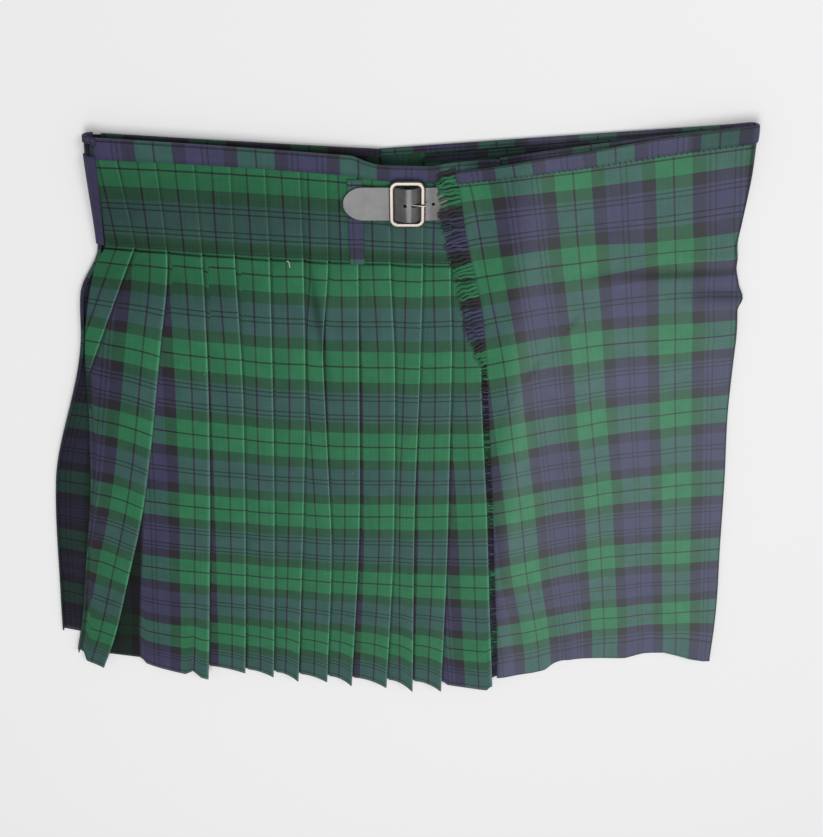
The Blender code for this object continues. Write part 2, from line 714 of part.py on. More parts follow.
def buckle_tab(material):
    """The leather keeper round the middle bar, slotted for the prong."""
    reach = MIDDLE_BAR_RADIUS + SEAM + TAB_THICK / 2
    flat_up = SEAM + TAB_THICK / 2
    line = [(x, flat_up) for x in TAB_FLAT_X]
    line.append((MIDDLE_BAR_X + TAB_RISE[0], TAB_RISE[1]))
    for turn in TAB_TURNS:
        angle = math.radians(turn)
        line.append((MIDDLE_BAR_X + reach * math.cos(angle), MIDDLE_BAR_UP + reach * math.sin(angle)))
    half, slot = TAB_WIDTH / 2, TAB_SLOT / 2
    across = (-half, -slot, slot, half)
    shape = bmesh.new()
    grid = [[shape.verts.new((x * MM, (STRAP_Y + y) * MM, z * MM)) for y in across] for x, z in line]
    for i in range(len(line) - 1):
        for j in range(3):
            if j == 1 and i >= TAB_SLOT_FROM:
                continue
            shape.faces.new((grid[i][j], grid[i + 1][j], grid[i + 1][j + 1], grid[i][j + 1]))
    mesh = bpy.data.meshes.new("buckle_tab")
    shape.to_mesh(mesh)
    shape.free()
    tilt(mesh)
    return solid_sheet("buckle_tab", mesh, material, TAB_THICK)


def top_surface(x, y):
    """The height that the fringe lies on at a place."""
    lift = lift_at(x, y)
    band = through_three(x, FRONT_X, (FRONT[1].left_y, FRONT[1].mid_y, FRONT[1].right_y))
    height = front_face(lift)
    if y > band - BAND_COVER:
        height += STEP_OFF
    beyond, thick = STRAP_COVER
    if abs(y - STRAP_Y) < STRAP_WIDTH / 2 + beyond:
        height = max(height, front_face(lift) + thick)
    return height


def apron_edge(y):
    """The over apron's left edge at a height, as X and Z."""
    places = [-row.left_y for row in OVER]
    x = float(np.interp(-y, places, [row.left_x for row in OVER]))
    z = float(np.interp(-y, places, [over_left_height(row) for row in OVER]))
    return x, z


def apron_fringe(material):
    """Strands drawn out of a narrow strip that lies beside the apron's edge."""
    shape = bmesh.new()
    pitch = (FRINGE_Y[0] - FRINGE_Y[1]) / FRINGE_STRANDS
    places = []
    for i in range(FRINGE_STRANDS):
        top = FRINGE_Y[0] - pitch * i
        places += [top, top - pitch * STRAND_SHARE]
    places.append(FRINGE_Y[1])
    rings = []
    for y in places:
        x, z = apron_edge(y)
        right, left = x - SEAM, x - SEAM - STRIP_WIDTH
        half = WALL / 2
        corners = ((right, z + half), (right, z - half), (left, z - half), (left, z + half))
        rings.append([shape.verts.new((px * MM, y * MM, pz * MM)) for px, pz in corners])
    roots = []
    for i in range(len(rings) - 1):
        for k in range(4):
            n = (k + 1) % 4
            face = shape.faces.new((rings[i][k], rings[i][n], rings[i + 1][n], rings[i + 1][k]))
            if k == 2 and i % 2 == 0:
                roots.append(face)
    shape.faces.new(rings[0][::-1])
    shape.faces.new(rings[-1])
    for number, face in enumerate(roots):
        draw_strand(shape, face, number)
    bmesh.ops.recalc_face_normals(shape, faces=shape.faces)
    mesh = bpy.data.meshes.new("apron_fringe")
    shape.to_mesh(mesh)
    shape.free()
    mesh.materials.append(material)
    return bpy.data.objects.new("apron_fringe", mesh)


def draw_strand(shape, face, number):
    """Draw one strand out of a face of the strip, down to what it lies on."""
    start = face.calc_center_median() / MM
    length = STRAND_LENGTH * (1.0 + STRAND_UNEVEN[0] * math.sin(number * 1.9))
    drop = STRAND_DROP + STRAND_UNEVEN[1] * math.sin(number * 0.31)
    previous = start
    for step in range(1, STRAND_STEPS + 1):
        share = step / STRAND_STEPS
        x = start.x - length * share
        y = start.y - drop * share
        ground = top_surface(x, y) + STRAND_CLEAR
        z = start.z + (ground - start.z) * ease(share)
        z = max(z, ground)
        result = bmesh.ops.extrude_discrete_faces(shape, faces=[face])
        face = result["faces"][0]
        for vertex in face.verts:
            vertex.co.x += (x - previous.x) * MM
            vertex.co.y += (y - previous.y) * MM
            vertex.co.z += (z - previous.z) * MM
        previous = face.calc_center_median() / MM


def build():
    """Make every piece and place the whole skirt about the origin."""
    clear_scene()
    scene = bpy.context.scene
    skirt = bpy.data.collections.new("tartan_skirt")
    cutters = bpy.data.collections.new("cutters")
    scene.collection.children.link(skirt)
    scene.collection.children.link(cutters)
    finish = {name: make_material(name) for name in MATERIALS}
    tartan, binding = finish["tartan"], finish["waistband"]

    front = [front_section(row) for row in FRONT]
    back = [back_section(row) for row in BACK]
    over = [over_section(row) for row in OVER]
    under = [under_section(row) for row in UNDER]
    pieces = [
        cloth("front_pleats", front, tartan),
        cloth("back_pleats", back, tartan),
        cloth("over_apron", over, tartan),
        cloth("under_apron", under, tartan),
    ]
    middle = front_base(1.0) + STACK / 2
    lines = [
        flat_middle(
            ((row.left_y, row.mid_y, row.right_y), FRONT_X),
            middle,
            row.edge_x + 0.5,
            BAND_FRONT_END,
            BAND_FRONT_COLUMNS,
        )
        for row in FRONT[:2]
    ]
    pieces.append(cloth("waistband_front", band_rows(*lines, BAND_REACH_PLEATS), binding))
    middle = back_height(1.0) + LEVEL
    lines = [
        flat_middle(
            ((row.left_y, row.mid_y, row.right_y), BACK_X),
            middle,
            row.join_x - BAND_BACK_INSET[0],
            row.fold_x + BAND_BACK_INSET[1],
            BAND_FRONT_COLUMNS,
        )
        for row in BACK[:2]
    ]
    pieces.append(cloth("waistband_back", band_rows(*lines, BAND_REACH_PLEATS), binding))
    pieces.append(cloth("waistband_over_apron", band_rows(over[0], over[1], BAND_REACH), binding))
    pieces.append(cloth("waistband_under_apron", band_rows(under[0], under[1], BAND_REACH), binding))
    pieces.append(belt_loop_hip(binding))
    pieces.append(belt_loop_side(binding))
    pieces.append(apron_fringe(tartan))

    leather, steel = finish["leather"], finish["polished_steel"]
    belt = strap(leather)
    for cutter in strap_cutters():
        for holder in list(cutter.users_collection):
            holder.objects.unlink(cutter)
        cutters.objects.link(cutter)
        cutter.hide_render = True
        cutter.display_type = "WIRE"
        hole = belt.modifiers.new("hole", "BOOLEAN")
        hole.object = cutter
    pieces += [belt, buckle_frame(steel, cutters), buckle_prong(steel), buckle_tab(leather)]
    for piece in pieces:
        skirt.objects.link(piece)
    place_about_origin(skirt, cutters)


def place_about_origin(skirt, cutters):
    """Bring the middle of the skirt's box over the origin, through one empty."""
    bpy.context.view_layer.update()
    graph = bpy.context.evaluated_depsgraph_get()
    lows, highs = [], []
    for piece in skirt.objects:
        mesh = piece.evaluated_get(graph).to_mesh()
        points = np.array([vertex.co for vertex in mesh.vertices])
        lows.append(points.min(axis=0))
        highs.append(points.max(axis=0))
    low, high = np.min(lows, axis=0), np.max(highs, axis=0)
    holder = bpy.data.objects.new("laid_flat", None)
    skirt.objects.link(holder)
    holder.location = (-(low[0] + high[0]) / 2, -(low[1] + high[1]) / 2, -low[2])
    for piece in list(skirt.objects) + list(cutters.objects):
        if piece is not holder:
            piece.parent = holder
    bpy.context.view_layer.update()


build()
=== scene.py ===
"""Looks of a pleated tartan skirt of the kilt kind, laid flat with its right hip up.

Tables are in millimetres about the middle of the hip, as the skirt's own pattern gives them.
"""

from __future__ import annotations

import logging
import math
from collections.abc import Sequence
from dataclasses import dataclass
from enum import Enum
from typing import NamedTuple

import bmesh
import bpy
import numpy as np
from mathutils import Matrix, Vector


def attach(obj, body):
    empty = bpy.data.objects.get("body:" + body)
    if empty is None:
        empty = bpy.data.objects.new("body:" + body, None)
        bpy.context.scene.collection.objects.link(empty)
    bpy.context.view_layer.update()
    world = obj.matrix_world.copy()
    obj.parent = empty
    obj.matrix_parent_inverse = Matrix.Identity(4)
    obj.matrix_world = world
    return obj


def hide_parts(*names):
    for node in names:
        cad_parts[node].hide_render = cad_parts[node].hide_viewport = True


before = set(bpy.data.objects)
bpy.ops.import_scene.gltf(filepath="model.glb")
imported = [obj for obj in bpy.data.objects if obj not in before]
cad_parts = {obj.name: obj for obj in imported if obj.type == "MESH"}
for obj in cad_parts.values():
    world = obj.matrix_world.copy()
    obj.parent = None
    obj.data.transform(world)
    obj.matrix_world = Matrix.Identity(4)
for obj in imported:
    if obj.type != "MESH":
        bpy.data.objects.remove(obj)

Socket = bpy.types.NodeSocket
Colour = tuple[float, float, float, float]

LOG = logging.getLogger("tartan_skirt")
MM = 0.001
SHIFT = np.array([24.7491, 32.3136, 0.0055])
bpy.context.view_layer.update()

# Cloth and how its layers stack.
WALL = 1.0
SEAM = 0.3
LEVEL = 1.4
TURN = LEVEL / 2
STEP_OFF = WALL + SEAM
HALF_SETT = 86.0
HALF_SETT_THREADS = 150.0
CREASE_FROM_GREEN = 0.18
UNDER_BASE = 0.5
UNDER_LIFT = 1.3
LAYER_LIFT = 2.9
FRONT_BASE = 4.2
FRONT_LIFT = 6.4
STACK = 2 * LEVEL + WALL
RISE = 5.0
RISE_START = 0.8
UNDERLAP = 12.0
LEAST_DEPTH = 3.0
PLEAT_CLEAR = 2.0
CLOTH_THICK = 0.62


class Held(Enum):
    """How a sheet of cloth is held."""

    LAID = "laid"
    FOLDED = "folded"


class Slot(Enum):
    """The record's material slots."""

    TARTAN = "tartan"
    BINDING = "waistband"
    LEATHER = "leather"
    STEEL = "polished_steel"


class Yarn(Enum):
    """The dyed yarns of the cloth, as linear colours."""

    BLUE = (0.047, 0.045, 0.100, 1.0)
    BLACK = (0.021, 0.019, 0.024, 1.0)
    GREEN = (0.024, 0.152, 0.067, 1.0)


class UpperRow(NamedTuple):
    """A section across the upper pleats."""

    name: str
    setts: float
    lift: float
    left_y: float
    mid_y: float
    right_y: float
    edge_x: float
    curl: float
    opened: float


# Upper pleats: the weft's offset in the yoke, the straight first crease and the sections.
YOKE_SETTS = (-0.35, 0.1, 0.77, 0.84)
YOKE_WEFT = (0.09, 0.08, 0.045, 0.0)
FREE_LINE = (0.77, 3.2)
FREE_LINE_X = (-246.0, -337.0)
UPPER_X = (-300.0, -120.0, 60.0)
UPPER_ROWS = (
    UpperRow("top", -0.35, 1.0, 284.5, 272.5, 257.0, -266.0, 0.0, 0.0),
    UpperRow("band", -0.17, 1.0, 267.5, 258.0, 241.0, -267.0, 0.0, 0.0),
    UpperRow("fell", 0.77, 0.0, 189.5, 175.5, 168.0, -272.0, 0.0, 0.0),
    UpperRow("green 1", 1.0, 0.0, 173.0, 155.5, 152.0, -282.3, 0.0, 0.0),
    UpperRow("green 2", 2.0, 0.0, 90.0, 65.5, 62.0, -305.2, 0.0, 0.0),
    UpperRow("green 3", 3.0, 0.0, 2.0, -24.5, -29.0, -316.0, 0.0, 0.0),
    UpperRow("green 4", 4.0, 0.0, -90.5, -112.5, -115.0, -329.0, 0.0, 1.0),
    UpperRow("green 5", 5.0, 0.0, -179.0, -200.0, -211.0, -347.0, 0.8, 12.0),
    UpperRow("green 6", 6.0, 0.0, -269.0, -287.0, -300.0, -366.0, 2.5, 27.0),
    UpperRow("hem", 6.65, 0.0, -318.0, -342.0, -356.0, -378.0, 5.0, 40.0),
)


class Crease(NamedTuple):
    """The X of a free crease at five heights on the cloth, and how its face hangs at the hem."""

    waist: float
    fell: float
    green_2: float
    green_4: float
    hem: float
    tip: float
    round: float


# Upper pleats: their free creases.
CREASE_SETTS = (-0.35, 0.77, 2.0, 4.0, 6.65)
CREASES = (
    Crease(-250.0, -246.0, -292.0, -326.0, -375.0, 0.0, 2.0),
    Crease(-216.0, -218.0, -238.0, -277.0, -350.0, 17.5, 0.1),
    Crease(-184.0, -187.0, -193.0, -208.0, -233.0, 16.4, 0.3),
    Crease(-153.0, -158.0, -161.0, -172.0, -190.0, 2.0, 2.0),
    Crease(-124.0, -127.0, -132.0, -142.0, -158.0, 3.0, 2.0),
    Crease(-95.0, -97.0, -101.0, -112.0, -130.0, 8.0, 2.0),
    Crease(-72.0, -75.0, -84.0, -84.0, -97.0, 4.0, 2.0),
    Crease(-47.0, -48.0, -50.0, -54.0, -69.0, 9.0, 2.0),
    Crease(-18.0, -19.0, -16.0, -18.0, -29.0, 9.0, 2.0),
    Crease(10.0, 10.0, 8.0, 3.0, 1.0, 11.0, 2.0),
    Crease(35.0, 35.0, 38.0, 38.0, 34.0, 10.0, 2.0),
    Crease(62.0, 62.0, 66.0, 78.0, 93.0, 7.0, 0.25),
)


class LowerRow(NamedTuple):
    """A section across the underside pleats, with the left fold's outline and radius."""

    name: str
    setts: float
    lift: float
    left_y: float
    mid_y: float
    right_y: float
    join_x: float
    fold_x: float
    fold_up: float


# Underside pleats.
LOWER_X = (-380.0, -120.0, 60.0)
LOWER_PLEATS = 8
LOWER_ROWS = (
    LowerRow("top", -0.35, 1.0, 292.0, 275.0, 266.0, -28.0, -275.5, 6.05),
    LowerRow("band", -0.17, 1.0, 275.0, 258.0, 249.0, -27.0, -277.0, 6.05),
    LowerRow("fell", 0.77, 0.0, 196.0, 176.0, 170.0, -22.0, -279.5, 3.5),
    LowerRow("bulge", 1.4, 0.0, 148.0, 122.0, 116.0, -17.0, -303.0, 3.5),
    LowerRow("green 2", 2.0, 0.0, 98.0, 68.0, 62.0, -13.0, -311.0, 3.5),
    LowerRow("green 4", 4.0, 0.0, -70.0, -108.0, -114.0, 1.0, -363.0, 2.0),
    LowerRow("green 6", 6.0, 0.0, -222.0, -278.0, -290.0, 15.0, -384.0, 2.0),
    LowerRow("hem", 6.65, 0.0, -279.0, -327.0, -338.0, 20.0, -391.0, 2.0),
)


class ApronRow(NamedTuple):
    """A section of an apron: its left edge, middle and right fold."""

    name: str
    setts: float
    lift: float
    left_x: float
    left_y: float
    mid_y: float
    fold_x: float
    fold_y: float
    left_up: float


# Aprons: the outer and the inner one, and how they lie.
OVER_ROWS = (
    ApronRow("top", -0.20, 1.0, 37.0, 255.5, 276.0, 289.5, 293.2, 3.8),
    ApronRow("band", -0.02, 1.0, 40.0, 245.5, 262.5, 290.5, 278.5, 3.8),
    ApronRow("yoke", 0.40, 0.47, 46.0, 208.0, 225.0, 292.5, 243.0, 5.8),
    ApronRow("fell", 0.77, 0.0, 52.5, 175.0, 191.0, 292.0, 208.0, 5.0),
    ApronRow("green 1", 1.0, 0.0, 58.0, 154.0, 170.5, 290.5, 186.0, 4.6),
    ApronRow("notch", 1.45, 0.0, 66.0, 113.0, 131.0, 300.5, 141.0, 4.4),
    ApronRow("green 2", 2.0, 0.0, 71.0, 64.5, 84.0, 304.5, 97.0, 4.4),
    ApronRow("green 3", 3.0, 0.0, 78.0, -25.5, -1.0, 309.5, 15.0, 1.7),
    ApronRow("green 4", 4.0, 0.0, 84.5, -113.0, -87.5, 319.5, -74.0, 1.7),
    ApronRow("green 5", 5.0, 0.0, 90.0, -201.0, -170.5, 328.0, -160.0, 1.7),
    ApronRow("green 6", 6.0, 0.0, 95.6, -285.0, -256.0, 337.0, -247.0, 1.9),
    ApronRow("hem", 6.68, 0.0, 98.7, -349.0, -316.0, 341.5, -323.0, 2.2),
)
INNER_ROWS = (
    ApronRow("top", -0.20, 1.0, 74.5, 265.0, 280.0, 289.5, 292.7, 0.0),
    ApronRow("band", -0.02, 1.0, 74.5, 247.0, 263.5, 290.5, 278.2, 0.0),
    ApronRow("yoke", 0.40, 0.47, 74.5, 209.0, 226.0, 292.5, 243.0, 0.0),
    ApronRow("fell", 0.77, 0.0, 74.5, 175.0, 191.0, 292.0, 208.0, 0.0),
    ApronRow("green 1", 1.0, 0.0, 75.5, 154.0, 170.5, 290.5, 186.0, 0.0),
    ApronRow("notch", 1.45, 0.0, 77.5, 113.0, 131.0, 300.5, 141.0, 0.0),
    ApronRow("green 2", 2.0, 0.0, 79.5, 66.0, 84.0, 304.5, 97.0, 0.0),
    ApronRow("green 3", 3.0, 0.0, 85.5, -23.0, 0.0, 309.5, 15.0, 0.0),
    ApronRow("green 4", 4.0, 0.0, 92.0, -110.0, -86.0, 319.5, -74.0, 0.0),
    ApronRow("green 5", 5.0, 0.0, 98.0, -197.0, -169.0, 328.0, -160.0, 0.0),
    ApronRow("green 6", 6.0, 0.0, 104.0, -280.0, -253.0, 337.0, -245.0, 0.0),
    ApronRow("hem", 6.60, 0.0, 108.5, -330.0, -302.0, 340.2, -308.0, 0.0),
)
APRON_BLEND = 62.0
APRON_START = (4.0, 6.0)
RETURN_DROP = 3.0

# Waistband: its lower edge on the outer apron, and how the front's top edge sags and rises.
BAND_LOW = -0.045
DIP_END = 0.2
DIP_X = (-50.0, -36.0, -28.0, -18.0, 0.0, 16.0, 30.0, 50.0, 74.0)
DIP_TOP = (0.0, -4.5, -5.8, -5.6, -4.4, -3.2, 0.4, 4.4, 8.3)
DIP_LOW = (0.0, -1.6, -1.8, -1.6, -0.8, 0.0, 0.0, 0.0, 2.0)

# Aprons: their run below, the notch at the right fold and the outer one's hem.
BELOW_RAISE = 0.15
HEM_FROM = 5.0
HEM_TUCK = 16.0
INNER_FREE_X = (11.0, 38.0)
FOLD_EASE = 0.8
NOTCH_SETTS = (0.98, 1.12, 1.26, 1.40, 1.55, 1.70, 1.86, 2.1)
NOTCH_OUT = (0.0, 0.8, -1.6, -1.0, 3.0, -1.2, -0.6, 0.0)
HEM_X = (95.0, 108.0, 130.5, 153.0, 163.0, 172.0, 203.0, 243.0, 262.0, 286.0, 317.0, 333.0, 344.0)
HEM_Y = (
    -349.4, -347.8, -341.4, -336.6, -326.0, -321.0, -319.3,
    -317.7, -311.5, -308.4, -320.9, -324.0, -324.0,
)


class GreenLine(NamedTuple):
    """Where three upright green stripes of the over apron cross one height of the cloth."""

    setts: float
    x1: float
    y1: float
    x2: float
    y2: float
    x3: float
    y3: float


GREEN_LINES = (
    GreenLine(-0.20, 46.0, 256.2, 135.0, 268.7, 218.0, 283.9),
    GreenLine(0.0, 50.0, 245.0, 137.0, 254.0, 221.0, 267.0),
    GreenLine(1.0, 68.0, 157.0, 151.0, 168.0, 236.0, 179.0),
    GreenLine(2.0, 87.0, 68.0, 165.0, 82.0, 247.0, 91.0),
    GreenLine(3.0, 100.0, -20.0, 177.0, -3.0, 258.0, 9.0),
    GreenLine(4.0, 113.0, -107.0, 191.0, -89.0, 270.0, -78.0),
    GreenLine(5.0, 124.0, -193.0, 202.0, -172.0, 281.0, -165.0),
    GreenLine(6.0, 139.0, -275.0, 213.0, -258.0, 292.0, -250.0),
    GreenLine(6.68, 148.0, -336.0, 220.0, -316.0, 301.0, -308.0),
)


class Ridge(NamedTuple):
    """A soft ridge, or with a negative height a trough, in laid cloth."""

    name: str
    x: float
    y: float
    half_length: float
    turn: float
    width: float
    height: float


# Ridges and wrinkles in millimetres, and painted light and shade as a share of the dye.
APRON_RIDGES = (
    Ridge("above the notch", 276.0, 182.0, 34.0, -8.0, 15.0, 4.0),
    Ridge("below the notch", 280.0, 98.0, 42.0, 4.0, 17.0, 3.4),
    Ridge("long fold, middle", 168.0, -40.0, 150.0, 98.0, 20.0, 1.8),
    Ridge("long fold, hem", 232.0, -250.0, 90.0, 96.0, 18.0, 2.6),
    Ridge("hem corner", 128.0, -310.0, 60.0, 100.0, 16.0, 4.0),
)
APRON_WRINKLES = (
    Ridge("overhang at the hip", 250.0, 160.0, 60.0, 3.0, 7.5, 2.4),
    Ridge("shaded fold", 246.0, 141.0, 62.0, 1.0, 7.0, -2.2),
    Ridge("dent at the notch", 283.0, 122.0, 24.0, -4.0, 9.0, -2.0),
    Ridge("rim of the dent", 262.0, 117.0, 5.0, 0.0, 13.0, 0.9),
    Ridge("crease at the hip", 285.0, 170.0, 16.0, 4.0, 2.6, 0.9),
    Ridge("short wrinkle 1", 152.0, 108.0, 16.0, 54.0, 2.6, 0.75),
    Ridge("short wrinkle 2", 120.0, 60.0, 13.0, 60.0, 2.4, 0.7),
    Ridge("short wrinkle 3", 97.0, 24.0, 11.0, 63.0, 2.2, 0.6),
    Ridge("short wrinkle 4", 178.0, 146.0, 12.0, 60.0, 2.4, 0.6),
    Ridge("trough by the long fold", 196.0, -70.0, 130.0, 98.0, 9.0, -0.9),
    Ridge("second long fold", 246.0, -30.0, 110.0, 97.0, 12.0, 1.1),
    Ridge("yoke swell", 150.0, 225.0, 70.0, 8.0, 16.0, 0.9),
    Ridge("hem wave 1", 176.0, -312.0, 40.0, 98.0, 10.0, 1.6),
    Ridge("hem wave 2", 286.0, -300.0, 48.0, 95.0, 12.0, 1.7),
)
APRON_SHADES = (
    Ridge("under the overhang", 244.0, 157.0, 78.0, 2.0, 5.0, -0.6),
    Ridge("in the dent", 286.0, 135.0, 30.0, 0.0, 7.0, -0.55),
    Ridge("lit overhang", 278.0, 169.0, 44.0, 4.0, 3.5, 0.3),
    Ridge("lit below the dent", 292.0, 118.0, 24.0, 0.0, 4.0, 0.15),
    Ridge("beside the long fold", 150.0, -60.0, 150.0, 98.0, 16.0, -0.10),
    Ridge("short wrinkle 1", 149.0, 106.0, 15.0, 54.0, 2.2, -0.4),
    Ridge("short wrinkle 2", 117.0, 58.0, 13.0, 60.0, 2.0, -0.4),
    Ridge("short wrinkle 3", 95.0, 23.0, 10.0, 63.0, 1.8, -0.35),
    Ridge("slanted fold at the hem", 118.0, -250.0, 90.0, 104.0, 7.0, -0.14),
    Ridge("hem fold", 176.0, -300.0, 44.0, 98.0, 6.0, -0.2),
)
PLEAT_SHADES = (
    Ridge("yoke", -190.0, 225.0, 200.0, -4.0, 46.0, -0.36),
    Ridge("yoke's left end", -262.0, 210.0, 40.0, 80.0, 34.0, -0.16),
    Ridge("below the fell, left", -230.0, 150.0, 90.0, -6.0, 26.0, -0.27),
    Ridge("left of the spread pleats", -300.0, 40.0, 120.0, 75.0, 34.0, -0.16),
    Ridge("bent pleat", -86.0, 112.0, 52.0, 96.0, 3.4, -0.5),
    Ridge("beside the bent pleat", -72.0, 118.0, 40.0, 82.0, 5.0, 0.12),
    Ridge("hem's left", -330.0, -250.0, 110.0, 70.0, 40.0, -0.12),
)
PLEAT_WRINKLES = (
    Ridge("bent pleat, upper", -88.0, 122.0, 46.0, 86.0, 5.0, 0.9),
    Ridge("bent pleat, trough", -79.0, 110.0, 36.0, 94.0, 4.0, -0.7),
    Ridge("spread pleat", -286.0, 60.0, 90.0, 72.0, 13.0, 1.4),
    Ridge("spread pleat, hem", -322.0, -200.0, 110.0, 68.0, 11.0, 1.8),
    Ridge("wide face", -262.0, -230.0, 90.0, 82.0, 14.0, 1.2),
    Ridge("hip swell", -150.0, 225.0, 90.0, -3.0, 18.0, 0.5),
)


def place(points: np.ndarray) -> np.ndarray:
    """Points in pattern millimetres, as metres in the skirt's own frame."""
    return (np.asarray(points, float) + SHIFT) * MM


def smooth_through(at: np.ndarray, places: Sequence[float], values: Sequence[float]) -> np.ndarray:
    """Values on a smooth line through given ones that never swings past them.

    Args:
        at: where to read the line.
        places: rising positions of the given values.
        values: the given values.

    Returns:
        One value for each place asked for.
    """
    x, y = np.asarray(places, float), np.asarray(values, float)
    at = np.clip(np.asarray(at, float), x[0], x[-1])
    step = np.diff(x)
    rise = np.diff(y) / step
    slope = np.zeros(len(x))
    same = rise[:-1] * rise[1:] > 0
    total = np.where(same, rise[:-1] + rise[1:], 1.0)
    slope[1:-1] = np.where(same, 2 * rise[:-1] * rise[1:] / total, 0.0)
    slope[0], slope[-1] = rise[0], rise[-1]
    i = np.clip(np.searchsorted(x, at, side="right") - 1, 0, len(step) - 1)
    t = (at - x[i]) / step[i]
    h, a, b = step[i], slope[i], slope[i + 1]
    return (
        y[i] * (1 + 2 * t) * (1 - t) ** 2
        + h * a * t * (1 - t) ** 2
        + y[i + 1] * t * t * (3 - 2 * t)
        - h * b * t * t * (1 - t)
    )


def smooth_at(at: float, places: Sequence[float], values: Sequence[float]) -> float:
    """One value on a smooth line through given ones."""
    return float(smooth_through(np.array(at), places, values))


def bell(value: float, middle: float, width: float) -> float:
    """A hump of height 1 about a middle."""
    return math.exp(-(((value - middle) / width) ** 2))


def green_at(setts: float, column: str) -> float:
    """One column of the green lines' table, at any height on the cloth."""
    known = [getattr(line, column) for line in GREEN_LINES]
    return smooth_at(setts, [line.setts for line in GREEN_LINES], known)


def row_between(rows: Sequence[tuple], setts: float) -> tuple:
    """A table's row at any height on the cloth.

    Args:
        rows: named rows whose second column is the height in half setts.
        setts: the height asked for.

    Returns:
        A row of the same kind.
    """
    kind = type(rows[0])
    heights = [row.setts for row in rows]
    found = []
    for column, name in enumerate(kind._fields[2:], 2):
        values = [row[column] for row in rows]
        if name in ("lift", "fold_up", "left_up"):
            found.append(float(np.interp(setts, heights, values)))
        else:
            found.append(smooth_at(setts, heights, values))
    return kind("between", setts, *found)


def through_three(x: float, places: Sequence[float], values: Sequence[float]) -> float:
    """The parabola through three points, at x."""
    (a, b, c), (p, q, r) = places, values
    return (
        p * (x - b) * (x - c) / ((a - b) * (a - c))
        + q * (x - a) * (x - c) / ((b - a) * (b - c))
        + r * (x - a) * (x - b) / ((c - a) * (c - b))
    )


def ease(value: float) -> float:
    """A smooth step from 0 to 1."""
    value = min(max(value, 0.0), 1.0)
    return value * value * (3.0 - 2.0 * value)


def ridges_at(ridges: Sequence[Ridge], x: np.ndarray, y: np.ndarray) -> np.ndarray:
    """How far soft ridges lift the cloth at given places.

    Args:
        ridges: the ridges and troughs.
        x: places across, in pattern millimetres.
        y: places along, in pattern millimetres.

    Returns:
        The lift in millimetres, or for a table of painted light and shade, its share of the dye.
    """
    total = np.zeros_like(np.asarray(x, float))
    for ridge in ridges:
        turn = math.radians(ridge.turn)
        along = (x - ridge.x) * math.cos(turn) + (y - ridge.y) * math.sin(turn)
        across = (y - ridge.y) * math.cos(turn) - (x - ridge.x) * math.sin(turn)
        fall = (along / ridge.half_length) ** 2 + (across / ridge.width) ** 2
        total += ridge.height * np.exp(-fall)
    return total


def slack(x: np.ndarray, y: np.ndarray) -> np.ndarray:
    """The small uneven rise and fall of laid wool, in millimetres."""
    return (
        0.16 * np.sin(x / 23.0 + 1.3 * np.sin(y / 61.0))
        + 0.12 * np.sin(y / 31.0 + x / 77.0 + 0.7)
        + 0.07 * np.sin(x / 9.7 - y / 14.3)
    )


def upper_base(lift: float) -> float:
    """The height under the upper pleats' deepest layer."""
    return FRONT_BASE + FRONT_LIFT * lift


def lift_at(x: float, y: float) -> float:
    """The waistband's lift at a place on the upper pleats."""
    band = through_three(x, UPPER_X, UPPER_ROWS[1][3:6])
    fell = through_three(x, UPPER_X, UPPER_ROWS[2][3:6])
    return min(max((y - fell) / (band - fell), 0.0), 1.0)


def on_face(x: float, y: float, up: float) -> tuple[float, float, float]:
    """A point a given height above the upper pleats' face."""
    return (x, y, upper_base(lift_at(x, y)) + STACK + up)


def waist_dip(x: float, setts: float) -> float:
    """How far the upper pleats' top edge is moved: down by the buckle, and up beside the apron.

    Args:
        x: the place across.
        setts: the height on the cloth.

    Returns:
        A change of Y in millimetres, 0 from a little below the waistband down.
    """
    top, low = UPPER_ROWS[0].setts, UPPER_ROWS[1].setts
    share = min(max((low - setts) / (low - top), 0.0), 1.0)
    fade = min(max((DIP_END - setts) / (DIP_END - low), 0.0), 1.0)
    dip = smooth_at(x, DIP_X, DIP_LOW) * fade
    return dip + (smooth_at(x, DIP_X, DIP_TOP) - dip) * share


def layer_height(number: int, lift: float) -> float:
    """The middle of one of the four cloth layers on the right, from the lowest, 0."""
    return UNDER_BASE + UNDER_LIFT * lift + number * (LEVEL + LAYER_LIFT * lift)


def crease_at(crease: Crease, setts: float) -> float:
    """Where a crease lies across the skirt, at a height on the cloth."""
    return smooth_at(setts, CREASE_SETTS, crease[:5])


def arc_lengths(points: np.ndarray) -> np.ndarray:
    """Lengths along a section from its first point."""
    steps = np.linalg.norm(np.diff(points[:, [0, 2]], axis=0), axis=1)
    return np.concatenate([[0.0], np.cumsum(steps)])


def select_only(item: bpy.types.Object) -> None:
    """Make one object the active and only selected one."""
    bpy.ops.object.select_all(action="DESELECT")
    item.hide_set(False)
    item.select_set(True)
    bpy.context.view_layer.objects.active = item


def new_object(name: str, data: bpy.types.ID) -> bpy.types.Object:
    """An object that holds a mesh, a lamp or a camera, linked to the scene.

    Args:
        name: its name.
        data: what it holds.

    Returns:
        The object.
    """
    item = bpy.data.objects.new(name, data)
    bpy.context.scene.collection.objects.link(item)
    return item


def apply_modifiers(item: bpy.types.Object) -> None:
    """Bake every modifier of a piece into its mesh."""
    select_only(item)
    for modifier in list(item.modifiers):
        bpy.ops.object.modifier_apply(modifier=modifier.name)


def add_bevel(item: bpy.types.Object, width: float, segments: int, degrees: float) -> None:
    """Round a piece's sharp edges.

    Args:
        item: the piece.
        width: how far, in millimetres.
        segments: in how many steps.
        degrees: only edges sharper than this.
    """
    bevel = item.modifiers.new("edge", "BEVEL")
    bevel.width = width * MM
    bevel.segments = segments
    bevel.limit_method = "ANGLE"
    bevel.angle_limit = math.radians(degrees)


